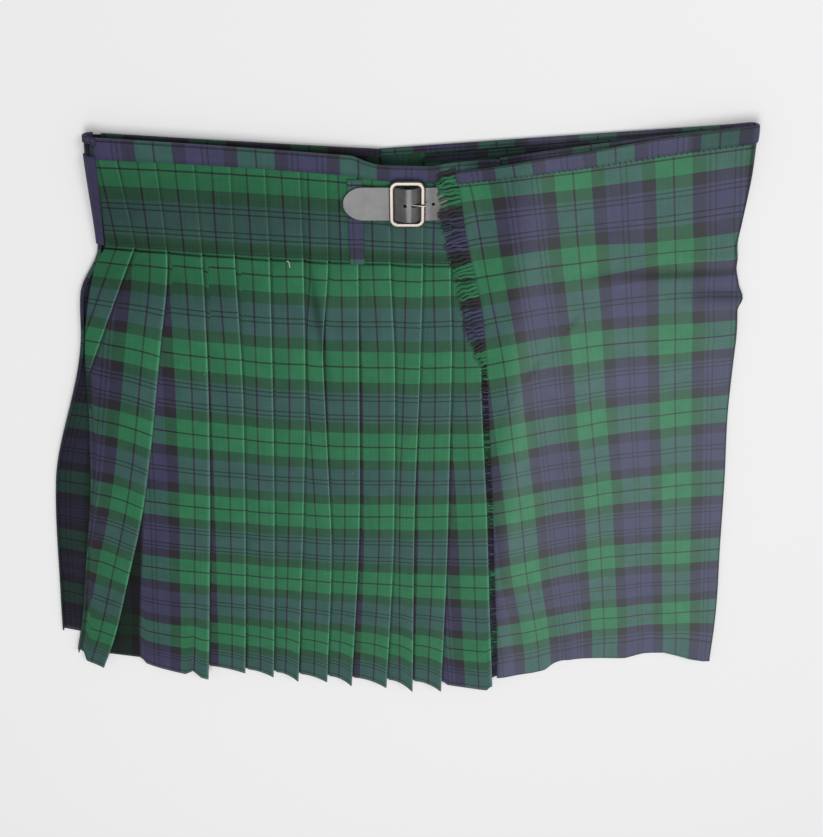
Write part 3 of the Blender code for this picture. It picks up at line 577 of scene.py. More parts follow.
def smooth_by_angle(item: bpy.types.Object, degrees: float) -> None:
    """Shade a piece smooth, with edges sharper than an angle kept crisp."""
    select_only(item)
    bpy.ops.object.shade_smooth_by_angle(angle=math.radians(degrees))


# Painted sheen and painted light: rising across onto the apron, and less on it toward the waist.
PAINTED_SHEEN_ACROSS = ((-330.0, -60.0, 88.0, 108.0, 345.0), (0.0, 0.12, 0.22, 0.9, 0.9))
PAINTED_SHEEN_ALONG = ((-340.0, -90.0, 60.0, 180.0, 300.0), (0.86, 1.0, 1.0, 0.62, 0.52))
PAINTED_SHEEN_FROM_X = 60.0


def painted_sheen_share(points: np.ndarray) -> np.ndarray:
    """How much painted sheen and painted light the cloth gets, from 0 to about 1: none on the pleats, paler
    and brighter on the apron.
    """
    x, y = points[..., 0], points[..., 1]
    return np.interp(x, *PAINTED_SHEEN_ACROSS) * np.where(x > PAINTED_SHEEN_FROM_X, np.interp(y, *PAINTED_SHEEN_ALONG), 1.0)


def cloth_object(
    name: str, points: np.ndarray, cut: np.ndarray, painted_shading: np.ndarray, thick: float = CLOTH_THICK
) -> bpy.types.Object:
    """A thin shell of cloth through a grid of points, with its place on the cut cloth.

    Args:
        name: the piece's name.
        points: rows by columns by 3, in pattern millimetres.
        cut: rows by columns by 2, the warp and weft places in half setts.
        painted_shading: rows by columns, painted light and shade as a share of the dye, above 0 for a
            painted highlight and below 0 for painted shade.
        thick: the cloth's thickness in millimetres.

    Returns:
        The finished piece.
    """
    rows, across = points.shape[:2]
    index = np.arange(rows * across).reshape(rows, across)
    corners = (index[:-1, :-1], index[:-1, 1:], index[1:, 1:], index[1:, :-1])
    faces = np.stack(corners, axis=-1).reshape(-1, 4)
    mesh = bpy.data.meshes.new(name)
    mesh.from_pydata(place(points).reshape(-1, 3).tolist(), [], faces.tolist())
    layer = mesh.uv_layers.new(name="cut")
    layer.data.foreach_set("uv", cut.reshape(-1, 2)[faces.reshape(-1)].astype(np.float32).ravel())
    # Painted highlight along lit crease edges and painted shade in folds, hollows and shadows.
    mark = mesh.attributes.new("painted_shading", "FLOAT", "POINT")
    mark.data.foreach_set("value", painted_shading.reshape(-1).astype(np.float32))
    sheen_layer = mesh.attributes.new("painted_sheen", "FLOAT", "POINT")
    sheen_layer.data.foreach_set("value", painted_sheen_share(points).reshape(-1).astype(np.float32))
    item = new_object(name, mesh)
    wall = item.modifiers.new("cloth wall", "SOLIDIFY")
    wall.thickness = thick * MM
    wall.offset = 0.0
    wall.use_even_offset = False
    apply_modifiers(item)
    item.data.shade_smooth()
    return item


def finish_piece(
    item: bpy.types.Object, material: bpy.types.Material, nodes: Sequence[str] = ()
) -> bpy.types.Object:
    """Give a piece its material, the body it rides on and the nodes it stands for.

    Args:
        item: the piece.
        material: what it is made of.
        nodes: the CAD nodes that it replaces.

    Returns:
        The same piece.
    """
    item.data.materials.clear()
    item.data.materials.append(material)
    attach(item, "root")
    if nodes:
        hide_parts(*nodes)
    LOG.info("piece %s: %d faces", item.name, len(item.data.polygons))
    return item


@dataclass(frozen=True)
class NodeKit:
    """Makes and joins the nodes of one tree, and gives each result as a socket."""

    tree: bpy.types.NodeTree

    def fill(self, node: bpy.types.Node, given: dict[int | str, Socket | float]) -> None:
        """Link or set a node's inputs.

        Args:
            node: the node.
            given: a socket or a plain value for each input.
        """
        for key, value in given.items():
            if isinstance(value, Socket):
                self.tree.links.new(value, node.inputs[key])
            else:
                node.inputs[key].default_value = value

    def node(
        self, kind: str, given: dict[int | str, Socket | float], result: int | str = 0, **settings: object
    ) -> Socket:
        """A new node's result.

        Args:
            kind: the node's kind.
            given: a socket or a plain value for each input.
            result: which output is wanted.
            settings: the node's own settings.

        Returns:
            That output.
        """
        node = self.tree.nodes.new("ShaderNode" + kind)
        for name, value in settings.items():
            setattr(node, name, value)
        self.fill(node, given)
        return node.outputs[result]

    def math(self, kind: str, *values: Socket | float) -> Socket:
        """A sum of sockets and numbers."""
        return self.node("Math", dict(enumerate(values)), operation=kind)

    def mix(self, share: Socket, first: Socket, second: Socket) -> Socket:
        """A colour with a share of the second of two in it."""
        return self.node("Mix", {0: share, 6: first, 7: second}, 2, data_type="RGBA")

    def colour(self, value: Colour) -> Socket:
        """A colour that is the same all over.

        Args:
            value: the linear colour.

        Returns:
            The colour.
        """
        result = self.node("RGB", {})
        result.default_value = value
        return result

    def flat_place(self, x: Socket, y: Socket) -> Socket:
        """Two values as one place."""
        return self.node("CombineXYZ", {0: x, 1: y})

    def noise(self, where: Socket, scale: float, detail: float) -> Socket:
        """Even noise from 0 to 1."""
        return self.node("TexNoise", {"Vector": where, "Scale": scale, "Detail": detail}, "Fac")

    def remap(self, value: Socket, *ends: float) -> Socket:
        """A value moved from one range to another, whose ends follow the first one's."""
        return self.node("MapRange", dict(enumerate((value, *ends))))

    def ramp(self, value: Socket, stops: Sequence[tuple[float, Colour]], kind: str = "LINEAR") -> Socket:
        """A colour that changes with a value.

        Args:
            value: the value, from 0 to 1.
            stops: places and their colours.
            kind: how the colours between them are found.

        Returns:
            The colour.
        """
        result = self.node("ValToRGB", {0: value})
        result.node.color_ramp.interpolation = kind
        marks = result.node.color_ramp.elements
        while len(marks) < len(stops):
            marks.new(1.0)
        for mark, (at, colour) in zip(marks, stops):
            mark.position = at
            mark.color = colour
        return result

    def bump(self, height: Socket, strength: float, distance: float) -> Socket:
        """A normal that follows a height, whose rise is in metres."""
        return self.node("Bump", {"Strength": strength, "Distance": distance, "Height": height})

    def attribute(self, name: str) -> Socket:
        """A value that is stored on the mesh."""
        return self.node("Attribute", {}, "Fac", attribute_name=name)


def toned(colour: Colour, share: float) -> Colour:
    """A colour made darker."""
    return (*[v * share for v in colour[:3]], 1.0)


def new_material(name: str) -> tuple[bpy.types.Material, NodeKit, bpy.types.Node]:
    """A material with its own nodes.

    Args:
        name: the material's name.

    Returns:
        The material, a kit for its nodes and its shader.
    """
    material = bpy.data.materials.new(name)
    material.use_nodes = True
    return material, NodeKit(material.node_tree), material.node_tree.nodes["Principled BSDF"]


@dataclass(frozen=True)
class Tartan:
    """The twill and its sett, the same in warp and weft, in threads from one pivot."""

    name: str = "tartan"
    weft_share: float = 0.53
    twill: float = 0.16
    roughness: float = 0.88
    sheen: float = 0.16
    sheen_roughness: float = 0.45
    specular: float = 0.18
    bump: tuple[float, float] = (0.35, 0.0003)
    sett: tuple[tuple[Yarn, float], ...] = (
        (Yarn.BLUE, 0),
        (Yarn.BLACK, 12.8),
        (Yarn.BLUE, 15.2),
        (Yarn.BLACK, 20.8),
        (Yarn.BLUE, 23.2),
        (Yarn.BLACK, 28),
        (Yarn.GREEN, 48),
        (Yarn.BLACK, 73.7),
        (Yarn.GREEN, 76.3),
        (Yarn.BLACK, 102),
        (Yarn.BLUE, 122),
        (Yarn.BLACK, 144.6),
        (Yarn.BLUE, 147.0),
    )
    widest_guard: float = 4.0
    guard_weft: float = 0.55
    guard_warp: float = 0.16
    guard_black: float = 0.6
    # How much the painted sheen pales the guard lines.
    guard_sheen_pale: float = 0.35
    twill_edges: tuple[float, float] = (0.18, 0.82)
    slub_scale: float = 74.0
    slub_tone: tuple[float, ...] = (0.25, 0.75, 0.84, 1.16)
    slub_height: float = 0.6
    cloud_scale: float = 5.0
    cloud_tone: tuple[float, ...] = (0.3, 0.7, 0.92, 1.08)
    streak_scales: tuple[float, float] = (46.0, 40.0)
    streak_tones: tuple[float, float] = (0.30, 0.20)
    streak_stretch: float = 0.025
    # How much painted light and shade, and painted sheen, raise or lower the dye and mix in a pale grey
    # sheen.
    painted_shading_gain: float = 0.9
    painted_shading_nap: float = 0.10
    painted_sheen_gain: float = 0.58
    painted_sheen_nap: float = 0.21
    sheen_grey: Colour = (0.24, 0.28, 0.27, 1.0)

    def steps(self, kit: NodeKit, thread: Socket, stops: Sequence[tuple[float, Colour]]) -> Socket:
        """A colour that steps along the sett, mirrored at its pivots.

        Args:
            kit: makes the group's nodes.
            thread: the thread number.
            stops: each first thread and the colour from there on.

        Returns:
            The colour.
        """
        fold = kit.math("PINGPONG", thread, HALF_SETT_THREADS)
        share = kit.math("DIVIDE", fold, HALF_SETT_THREADS)
        shares = [(first / HALF_SETT_THREADS, colour) for first, colour in stops]
        return kit.ramp(share, shares, "CONSTANT")

    def stripe(self, kit: NodeKit, thread: Socket) -> Socket:
        """The dyed colour of a thread by its number."""
        return self.steps(kit, thread, [(first, yarn.value) for yarn, first in self.sett])

    def guard_line(self, kit: NodeKit, thread: Socket) -> Socket:
        """A mask of the sett's narrow black lines.

        Args:
            kit: makes the group's nodes.
            thread: the thread number.

        Returns:
            White on the lines and black beside them.
        """
        off, on = (0.0, 0.0, 0.0, 1.0), (1.0, 1.0, 1.0, 1.0)
        stops = [(0.0, off)]
        for (yarn, first), (_, last) in zip(self.sett, self.sett[1:]):
            if yarn is Yarn.BLACK and last - first < self.widest_guard:
                stops += [(first, on), (last, off)]
        return self.steps(kit, thread, stops)

    def streak(self, kit: NodeKit, across: Socket, along: Socket, scale: float) -> Socket:
        """Uneven dyeing from thread to thread, long in the thread's own direction."""
        where = kit.flat_place(across, kit.math("MULTIPLY", along, self.streak_stretch))
        return kit.noise(where, scale, 2.0)

    def weave(self) -> bpy.types.NodeTree:
        """The node group that colours a two and two twill, built once.

        Returns:
            A group that takes warp and weft places and gives a colour and a height.
        """
        known = bpy.data.node_groups.get("tartan_weave")
        if known:
            return known
        tree = bpy.data.node_groups.new("tartan_weave", "ShaderNodeTree")
        for name in ("Warp", "Weft", "Weft share", "Painted shading", "Painted sheen", "Twill"):
            tree.interface.new_socket(name, in_out="INPUT", socket_type="NodeSocketFloat")
        tree.interface.new_socket("Color", in_out="OUTPUT", socket_type="NodeSocketColor")
        tree.interface.new_socket("Height", in_out="OUTPUT", socket_type="NodeSocketFloat")
        given = tree.nodes.new("NodeGroupInput").outputs
        result = tree.nodes.new("NodeGroupOutput").inputs
        kit = NodeKit(tree)
        warp, weft = (
            kit.math("MULTIPLY_ADD", given[name], -HALF_SETT_THREADS, HALF_SETT_THREADS / 2)
            for name in ("Warp", "Weft")
        )

        diagonal = kit.math("ADD", warp, weft)
        wave = kit.math("PINGPONG", kit.math("MULTIPLY", diagonal, 0.5), 1.0)
        sharp = kit.remap(wave, *self.twill_edges, -1.0, 1.0)
        sharp.node.interpolation_type = "SMOOTHSTEP"
        share = kit.math("ADD", kit.math("MULTIPLY", sharp, given["Twill"]), given["Weft share"])
        share.node.use_clamp = True
        mixed = kit.mix(share, self.stripe(kit, warp), self.stripe(kit, weft))

        lines = kit.math("MULTIPLY", self.guard_line(kit, weft), self.guard_weft)
        lines = kit.math("MULTIPLY_ADD", self.guard_line(kit, warp), self.guard_warp, lines)
        lines.node.use_clamp = True
        lines = kit.math("MULTIPLY", lines, kit.math("MULTIPLY_ADD", given["Painted sheen"], -self.guard_sheen_pale, 1.0))
        mixed = kit.mix(lines, mixed, kit.colour(toned(Yarn.BLACK.value, self.guard_black)))

        where = kit.flat_place(given["Warp"], given["Weft"])
        slub = kit.noise(where, self.slub_scale, 3.0)
        cloud = kit.noise(where, self.cloud_scale, 3.0)
        gain = kit.math("MULTIPLY", kit.remap(slub, *self.slub_tone), kit.remap(cloud, *self.cloud_tone))
        ways = (("Warp", "Weft"), ("Weft", "Warp"))
        for (across, along), scale, tone in zip(ways, self.streak_scales, self.streak_tones):
            streak = self.streak(kit, given[across], given[along], scale)
            gain = kit.math("MULTIPLY", gain, kit.math("MULTIPLY_ADD", streak, tone, 1.0 - tone / 2))
        # Painted light and shade, and painted sheen, make the dye lighter or darker.
        for name, rise in (("Painted shading", self.painted_shading_gain), ("Painted sheen", self.painted_sheen_gain)):
            gain = kit.math("MULTIPLY", gain, kit.math("MULTIPLY_ADD", given[name], rise, 1.0))
        mixed = kit.node("VectorMath", {0: mixed, "Scale": gain}, operation="SCALE")

        # Painted highlight and painted sheen mix a pale grey into the colour.
        sheen_mix = kit.math("MULTIPLY", given["Painted shading"], self.painted_shading_nap)
        sheen_mix = kit.math("MULTIPLY_ADD", given["Painted sheen"], self.painted_sheen_nap, sheen_mix)
        sheen_mix.node.use_clamp = True
        tree.links.new(kit.mix(sheen_mix, mixed, kit.colour(self.sheen_grey)), result["Color"])
        tree.links.new(kit.math("MULTIPLY_ADD", slub, self.slub_height, wave), result["Height"])
        return tree

    def material(self) -> bpy.types.Material:
        """The cloth's material, which reads the piece's own cut map.

        Returns:
            A new material.
        """
        material, kit, shader = new_material(self.name)
        cut = kit.node("SeparateXYZ", {0: kit.node("UVMap", {}, uv_map="cut")}).node.outputs
        given = {
            "Warp": cut[0],
            "Weft": cut[1],
            "Weft share": self.weft_share,
            "Painted shading": kit.attribute("painted_shading"),
            "Painted sheen": kit.attribute("painted_sheen"),
            "Twill": self.twill,
        }
        colour = kit.node("Group", given, "Color", node_tree=self.weave())
        looks = {
            "Base Color": colour,
            "Normal": kit.bump(colour.node.outputs["Height"], *self.bump),
            "Roughness": self.roughness,
            "Sheen Weight": self.sheen,
            "Sheen Roughness": self.sheen_roughness,
            "Specular IOR Level": self.specular,
        }
        kit.fill(shader, looks)
        return material


@dataclass(frozen=True)
class Leather:
    """Black strap leather with a soft sheen from wear."""

    name: str = "strap_leather"
    dark: Colour = (0.052, 0.049, 0.053, 1.0)
    light: Colour = (0.100, 0.095, 0.098, 1.0)
    tone_places: tuple[float, float] = (0.35, 0.7)
    cloud_scale: float = 90.0
    rough: tuple[float, float] = (0.32, 0.41)
    coat: float = 1.0
    coat_roughness: float = 0.3
    grain_scale: float = 1400.0
    grain_bump: tuple[float, float] = (0.25, 0.0002)

    def material(self) -> bpy.types.Material:
        """The leather's material.

        Returns:
            A new material.
        """
        material, kit, shader = new_material(self.name)
        where = kit.node("TexCoord", {}, "Object")
        cloud = kit.noise(where, self.cloud_scale, 4.0)
        grain = kit.node("TexVoronoi", {"Vector": where, "Scale": self.grain_scale}, "Distance")
        looks = {
            "Base Color": kit.ramp(cloud, list(zip(self.tone_places, (self.dark, self.light)))),
            "Roughness": kit.remap(cloud, 0.0, 1.0, *self.rough),
            "Normal": kit.bump(grain, *self.grain_bump),
            "Coat Weight": self.coat,
            "Coat Roughness": self.coat_roughness,
        }
        kit.fill(shader, looks)
        return material


@dataclass(frozen=True)
class PlainFinish:
    """A finish with one colour, a little uneven: steel, thread or the floor."""

    name: str
    colour: Colour
    roughness: float
    metallic: float = 0.0
    uneven: float = 0.06
    scale: float = 120.0
    rim: float = 0.0
    rim_tone: float = 0.12
    rim_power: float = 0.8

    def material(self) -> bpy.types.Material:
        """The finish's material, with a painted dark reflection where a polished edge turns away.

        Returns:
            A new material.
        """
        material, kit, shader = new_material(self.name)
        cloud = kit.noise(kit.node("TexCoord", {}, "Object"), self.scale, 3.0)
        low, high = 1 - self.uneven, 1 + self.uneven
        tone = kit.ramp(cloud, [(0.0, toned(self.colour, low)), (1.0, self.colour)])
        rough = kit.remap(cloud, 0.0, 1.0, self.roughness * low, self.roughness * high)
        # Painted dark reflection on the edges that turn away.
        if self.rim:
            turned = kit.node("LayerWeight", {"Blend": self.rim}, "Facing")
            share = kit.math("POWER", turned, self.rim_power)
            tone = kit.mix(share, tone, kit.colour(toned(self.colour, self.rim_tone)))
        kit.fill(shader, {"Base Color": tone, "Roughness": rough, "Metallic": self.metallic})
        return material


@dataclass
class Sheet:
    """One sheet of the skirt's tartan."""

    name: str = ""
    node: str = ""

    def grid(self) -> tuple[np.ndarray, np.ndarray, np.ndarray]:
        """Points, cut places and marks, as each kind of sheet lays them out."""
        raise NotImplementedError

    def build(self, tartan: bpy.types.Material) -> bpy.types.Object:
        """Make and dress the sheet."""
        return finish_piece(cloth_object(self.name, *self.grid()), tartan, (self.node,))


@dataclass
class UpperPleats(Sheet):
    """The pleated panel's upper side: twelve knife pleats, sewn down to the fell."""

    name: str = "upper_pleats"
    node: str = "front_pleats"
    rows: int = 140
    face_shares: tuple[float, ...] = (0.0, 0.05, 0.15, 0.3, 0.5, 0.65, 0.78, 0.9, 0.955, 0.985)
    turn_steps: int = 4
    rise: float = 3.6
    yoke_flat: float = 0.42
    free_flat: float = 0.72
    rise_shares: tuple[float, ...] = (0.0, 0.16, 0.36, 0.6, 0.82)
    crown: float = 0.3
    # Painted shade in the hollow right of each crease, deeper where the third pleat is drawn open.
    shade: float = 0.34
    opened_pleat: int = 2
    opened_least: float = 2.0
    opened_shades: tuple[float, float] = (0.9, 0.95)
    # Painted highlight along each face's lit edge and on each crease's tip; painted shade where a face
    # starts and behind the tip.
    face_marks: tuple[float, float] = (0.3, -0.12)
    lit_from: float = 0.98
    turn_marks: tuple[float, float] = (0.8, -0.3)
    freed_from: tuple[float, float] = (0.74, 0.08)
    first_sinks: tuple[float, float, float] = (2.2, 0.9, 0.9)
    # first_shut: from where, over how much and how deep the painted shade on the first pleat's sunk strip
    # is.
    first_shut: tuple[float, float, float] = (2.2, 0.3, 0.7)
    # Painted shade just above the fell, and a painted shadow line along the fell under the yoke's edge.
    above_fell: tuple[float, float, float] = (0.72, 0.05, 0.3)
    fell_shadow: tuple[float, float, float] = (0.815, 0.014, 0.85)
    stagger: tuple[float, ...] = (0.0, 0.3, -0.6, 0.4, -0.5, 0.8, -0.7, 0.5, 0.7, -0.8, 0.5, 0.0)
    near_fell: tuple[float, ...] = (0.0, 1.3, 3.9, 5.3, 1.5, 0.6, -0.6, -0.8, 0.4, 0.0, 0.3, 0.0)
    droop_setts: tuple[float, ...] = (0.8, 2.0, 3.0, 4.0, 5.0, 6.0)
    droop: tuple[float, ...] = (0.0, 6.0, 9.0, 10.5, 12.0, 14.0)

    def half_turn(self, centre: float, level: float, first: float, last: float) -> list[tuple]:
        """Points of a fold, as (across, level), from one angle to another."""
        spread = np.radians(np.linspace(first, last, self.turn_steps + 1))
        return [(centre + TURN * math.cos(a), level + 0.5 * math.sin(a)) for a in spread]

    def line(self, start: float, creases: Sequence[float], opened: float, end: float) -> list[tuple]:
        """A section across knife pleats whose free creases point forward.

        Args:
            start: where the first face begins.
            creases: the X of each free crease.
            opened: how far the third pleat is drawn open.
            end: where the section ends, on the lowest level.

        Returns:
            Points as (across, level, share of the face, is crease tip, is inner fold, mark).
        """
        line: list[tuple] = []
        before = start
        light, dark = self.face_marks
        for number, crease in enumerate(creases):
            gap = opened if number == self.opened_pleat else 0.0
            face = start
            depth = min(HALF_SETT / 3, crease - start - RISE_START)
            if number:
                rise = before + gap + RISE_START
                face = rise + self.rise
                deep = self.shade if gap < self.opened_least else self.opened_shades[0]
                for share in self.rise_shares:
                    level = 2.0 * ease(share * 1.08)
                    line.append((rise + self.rise * share, level, 0.0, 0, 0, -deep * (1 - share)))
                depth = min(
                    max((HALF_SETT - (crease - before)) / 2, LEAST_DEPTH),
                    crease - before - gap - RISE - PLEAT_CLEAR,
                )
            for share in self.face_shares:
                swell = self.crown * math.sin(math.pi * share) if number else 0.0
                x = face + (crease - TURN - face) * share
                mark = light if share > self.lit_from else dark * (1.0 - share)
                line.append((x, 2.0 + swell / LEVEL * 0.5, share, 0, 0, mark))
            turn = self.half_turn(crease - TURN, 1.5, 90, -90)
            for i, (x, level) in enumerate(turn):
                tip, behind = int(i == self.turn_steps // 2), int(i > self.turn_steps // 2)
                line.append((x, level, 1.0, tip, 0, self.turn_marks[behind]))
            inner = crease - depth
            line.append((crease - TURN - (depth - 2 * TURN) * 0.5, 1.0, 0.3, 0, 0, 0.0))
            turn = self.half_turn(inner + TURN, 0.5, 90, 270)
            for i, (x, level) in enumerate(turn):
                line.append((x, level, 0.0, 0, int(i == self.turn_steps // 2), 0.0))
            beside = number == self.opened_pleat - 1 and opened > self.opened_least
            opening = self.opened_shades[1] if beside else self.shade
            line.append((inner + TURN + (depth - 2 * TURN) * 0.5, 0.0, 0.0, 0, 0, -opening))
            before = crease
        line.append((end, 0.0, 0.0, 0, 0, -self.shade))
        return line

    def warp(self, points: np.ndarray, tips: Sequence[int], inners: Sequence[int]) -> np.ndarray:
        """Warp places along a section: true to scale on each face, made up on hidden layers.

        Args:
            points: the section's points.
            tips: where each crease's tip is among them.
            inners: where each inner fold is among them.

        Returns:
            One place in half setts for each point.
        """
        length = arc_lengths(points) / HALF_SETT
        places = np.zeros(len(points))
        known = [i + CREASE_FROM_GREEN for i in range(len(tips))]
        first = 0
        for number, tip in enumerate(tips):
            places[first : tip + 1] = known[number] - (length[tip] - length[first : tip + 1])
            first = inners[number]
        for number, tip in enumerate(tips[:-1]):
            run = np.arange(tip, inners[number] + 1)
            share = (length[run] - length[tip]) / (length[run[-1]] - length[tip])
            places[run] = known[number] + (places[inners[number]] - known[number]) * share
        places[tips[-1] :] = known[-1] + length[tips[-1] :] - length[tips[-1]]
        return places

    def hang(self, number: int, setts: float, share: float, hem: float) -> float:
        """How far a face hangs below the section's own line.

        Args:
            number: the pleat.
            setts: the height on the cloth.
            share: 0 where the face comes up, 1 at its crease.
            hem: 0 above the hem's swing, 1 at the hem.

        Returns:
            A Y that is 0 or less, in millimetres.
        """
        crease = CREASES[number]
        down = crease.tip * share**crease.round * hem if share > 0 else 0.0
        if number == len(CREASES) - 1:
            down *= 1.0 - 1.1 * ease((share - 0.88) / 0.12)
        if number == 1:
            down += float(np.interp(setts, self.droop_setts, self.droop)) * share * share * (1.0 - hem)
        if number == 2:
            down -= 8.0 * hem * hem * bell(share, 0.78, 0.05)
        return -down

    def heights(self) -> np.ndarray:
        """The heights on the cloth at which sections are made, closer near the fell.

        Returns:
            Rising heights in half setts.
        """
        top = np.linspace(UPPER_ROWS[0].setts, 0.73, 20)[:-1]
        near = np.concatenate([np.linspace(0.73, 0.86, 14)[:-1], np.linspace(0.86, 1.2, 11)[:-1]])
        return np.concatenate([top, near, np.linspace(1.2, UPPER_ROWS[-1].setts, self.rows - 42)])

    def grid(self) -> tuple[np.ndarray, np.ndarray, np.ndarray]:
        """Every section of the panel.

        Returns:
            Points, cut places and painted light and shade.
        """
        points, cuts, marks = [], [], []
        for setts in self.heights():
            row = row_between(UPPER_ROWS, float(setts))
            creases = [crease_at(crease, row.setts) for crease in CREASES]
            if FREE_LINE[0] < row.setts < FREE_LINE[1]:
                straight = float(np.interp(row.setts, FREE_LINE, FREE_LINE_X))
                creases[0] = max(straight, row.edge_x + 3.0)
            line = self.line(row.edge_x, creases, row.opened, creases[-1] + UNDERLAP)
            tips = [i for i, p in enumerate(line) if p[3]]
            inners = [i for i, p in enumerate(line) if p[4]]
            freed = ease((row.setts - self.freed_from[0]) / self.freed_from[1])
            flat = self.yoke_flat + (self.free_flat - self.yoke_flat) * freed
            hem = max(0.0, (row.setts - HEM_FROM) / (UPPER_ROWS[-1].setts - HEM_FROM))
            sunk = self.first_sinks[2] * ease((row.setts - self.first_sinks[0]) / self.first_sinks[1])
            shut = ease((row.setts - self.first_shut[0]) / self.first_shut[1])
            below = ease((row.setts - 0.82) / 0.14) * ease(2.0 - row.setts)
            base = upper_base(row.lift) + WALL / 2
            section, mark = [], []
            number = 0
            for i, (x, level, share, _, _, shine) in enumerate(line):
                while number < len(CREASES) - 1 and i > inners[number]:
                    number += 1
                y = through_three(x, UPPER_X, row[3:6])
                y += self.hang(number, row.setts, share, hem) + waist_dip(x, row.setts)
                y += self.stagger[number] * freed * share
                y += self.near_fell[number] * below * ease(share * 18.0)
                if i > inners[-1]:
                    inner_x = line[inners[-1]][0]
                    y += HEM_TUCK * hem * (x - inner_x) / (line[-1][0] - inner_x)
                rise = LEVEL * (2.0 - (2.0 - level) * flat)
                if number == 0:
                    rise *= 1.0 - sunk
                    # The first pleat's sunk strip gets painted shade in place of its marks.
                    shine = shine * (1.0 - shut) - self.first_shut[2] * shut
                section.append((x, y, base + rise + row.curl * share * share))
                mark.append(shine * (0.4 + 0.6 * freed))
            array = np.array(section)
            # Painted light and shade: the crease marks, the painted shade table, and the painted shade and
            # shadow at the fell.
            mark = np.array(mark) + ridges_at(PLEAT_SHADES, array[:, 0], array[:, 1])
            mark -= self.above_fell[2] * bell(row.setts, *self.above_fell[:2]) * (1.0 - freed)
            mark -= self.fell_shadow[2] * bell(row.setts, *self.fell_shadow[:2])
            top = np.array([p[1] > 1.6 for p in line], float)
            lift = ridges_at(PLEAT_WRINKLES, array[:, 0], array[:, 1]) * freed
            array[:, 2] += (lift + slack(array[:, 0], array[:, 1])) * (0.3 + 0.7 * top) * freed
            warp = self.warp(array, tips, inners)
            points.append(array)
            weft = row.setts + float(np.interp(row.setts, YOKE_SETTS, YOKE_WEFT))
            cuts.append(np.column_stack([warp, np.full(len(warp), weft)]))
            marks.append(mark)
        return np.array(points), np.array(cuts), np.array(marks)


@dataclass
class LowerPleats(UpperPleats):
    """The pleated panel's underside, and the left fold that brings it up."""

    name: str = "lower_pleats"
    node: str = "back_pleats"
    rows: int = 70
    face_shares: tuple[float, ...] = (0.0, 0.3, 0.6, 0.9)
    rise: float = RISE
    fold_steps: int = 12
    left_place: float = -0.68
    shades: tuple[tuple[float, ...], ...] = ((-250.0, 60.0, 200.0, 250.0), (-0.85, -0.7, -0.42, -0.85))

    def grid(self) -> tuple[np.ndarray, np.ndarray, np.ndarray]:
        """Every section of the underside.

        Returns:
            Points, cut places and painted shade.
        """
        points, cuts = [], []
        for setts in np.linspace(LOWER_ROWS[0].setts, LOWER_ROWS[-1].setts, self.rows):
            row = row_between(LOWER_ROWS, float(setts))
            span = row.join_x - row.fold_x
            creases = [span * (i + 1) / (LOWER_PLEATS + 1) for i in range(LOWER_PLEATS)]
            end = creases[-1] + RISE_START
            line = self.line(0.0, creases, 0.0, end)
            tips = [i for i, p in enumerate(line) if p[3]]
            inners = [i for i, p in enumerate(line) if p[4]]
            reach = span - row.fold_up - WALL / 2
            run = [(end + RISE + (reach - end - RISE) * s, 2.0) for s in (0.0, 0.35, 0.7, 1.0)]
            floor = UNDER_BASE + UNDER_LIFT * row.lift
            flat = [(row.join_x - p[0], floor + LEVEL * max(2.0 - p[1], 0.0)) for p in line + run]
            centre = row.fold_x + WALL / 2 + row.fold_up
            for i in range(1, self.fold_steps + 1):
                angle = math.radians(-90 - 180 * i / self.fold_steps)
                x = centre + row.fold_up * math.cos(angle)
                flat.append((x, floor + row.fold_up * (1 + math.sin(angle))))
            section = np.array([(x, through_three(x, LOWER_X, row[3:6]), z) for x, z in flat])
            warp = self.warp(section, tips, inners)
            points.append(section)
            warp = -warp + warp[-1] + self.left_place
            cuts.append(np.column_stack([warp, np.full(len(warp), row.setts)]))
        grid = np.array(points)
        return grid, np.array(cuts), np.interp(grid[..., 1], *self.shades)


def turn_under(centre: float, radius: float, low: float, steps: int) -> tuple[np.ndarray, np.ndarray]:
    """The X and Z of a right fold's half round, from just past its top down to a level."""
    angles = np.radians(90 - 180 * np.arange(1, steps + 1) / steps)
    return centre + radius * np.cos(angles), low + radius + radius * np.sin(angles)


def run_below(row: ApronRow, x: np.ndarray, join: float, fold_y: float) -> np.ndarray:
    """Y on the aprons' underside, from the right fold to where the pleats begin.

    Args:
        row: the apron's section.
        x: places across.
        join: where the run ends.
        fold_y: the Y at the fold.

    Returns:
        The Y of each place, tucked up at the hem.
    """
    level = max(row.setts - BELOW_RAISE * row.lift, LOWER_ROWS[0].setts)
    lower = row_between(LOWER_ROWS, min(level, LOWER_ROWS[-1].setts))
    join_y = through_three(join, LOWER_X, lower[3:6])
    share = (x - join) / (row.fold_x - join)
    hem = max(0.0, (row.setts - HEM_FROM) / (LOWER_ROWS[-1].setts - HEM_FROM))
    tuck = np.array([ease(8.0 * min(s, 1.0 - s)) for s in share])
    return join_y + (fold_y - join_y) * share + HEM_TUCK * hem * tuck


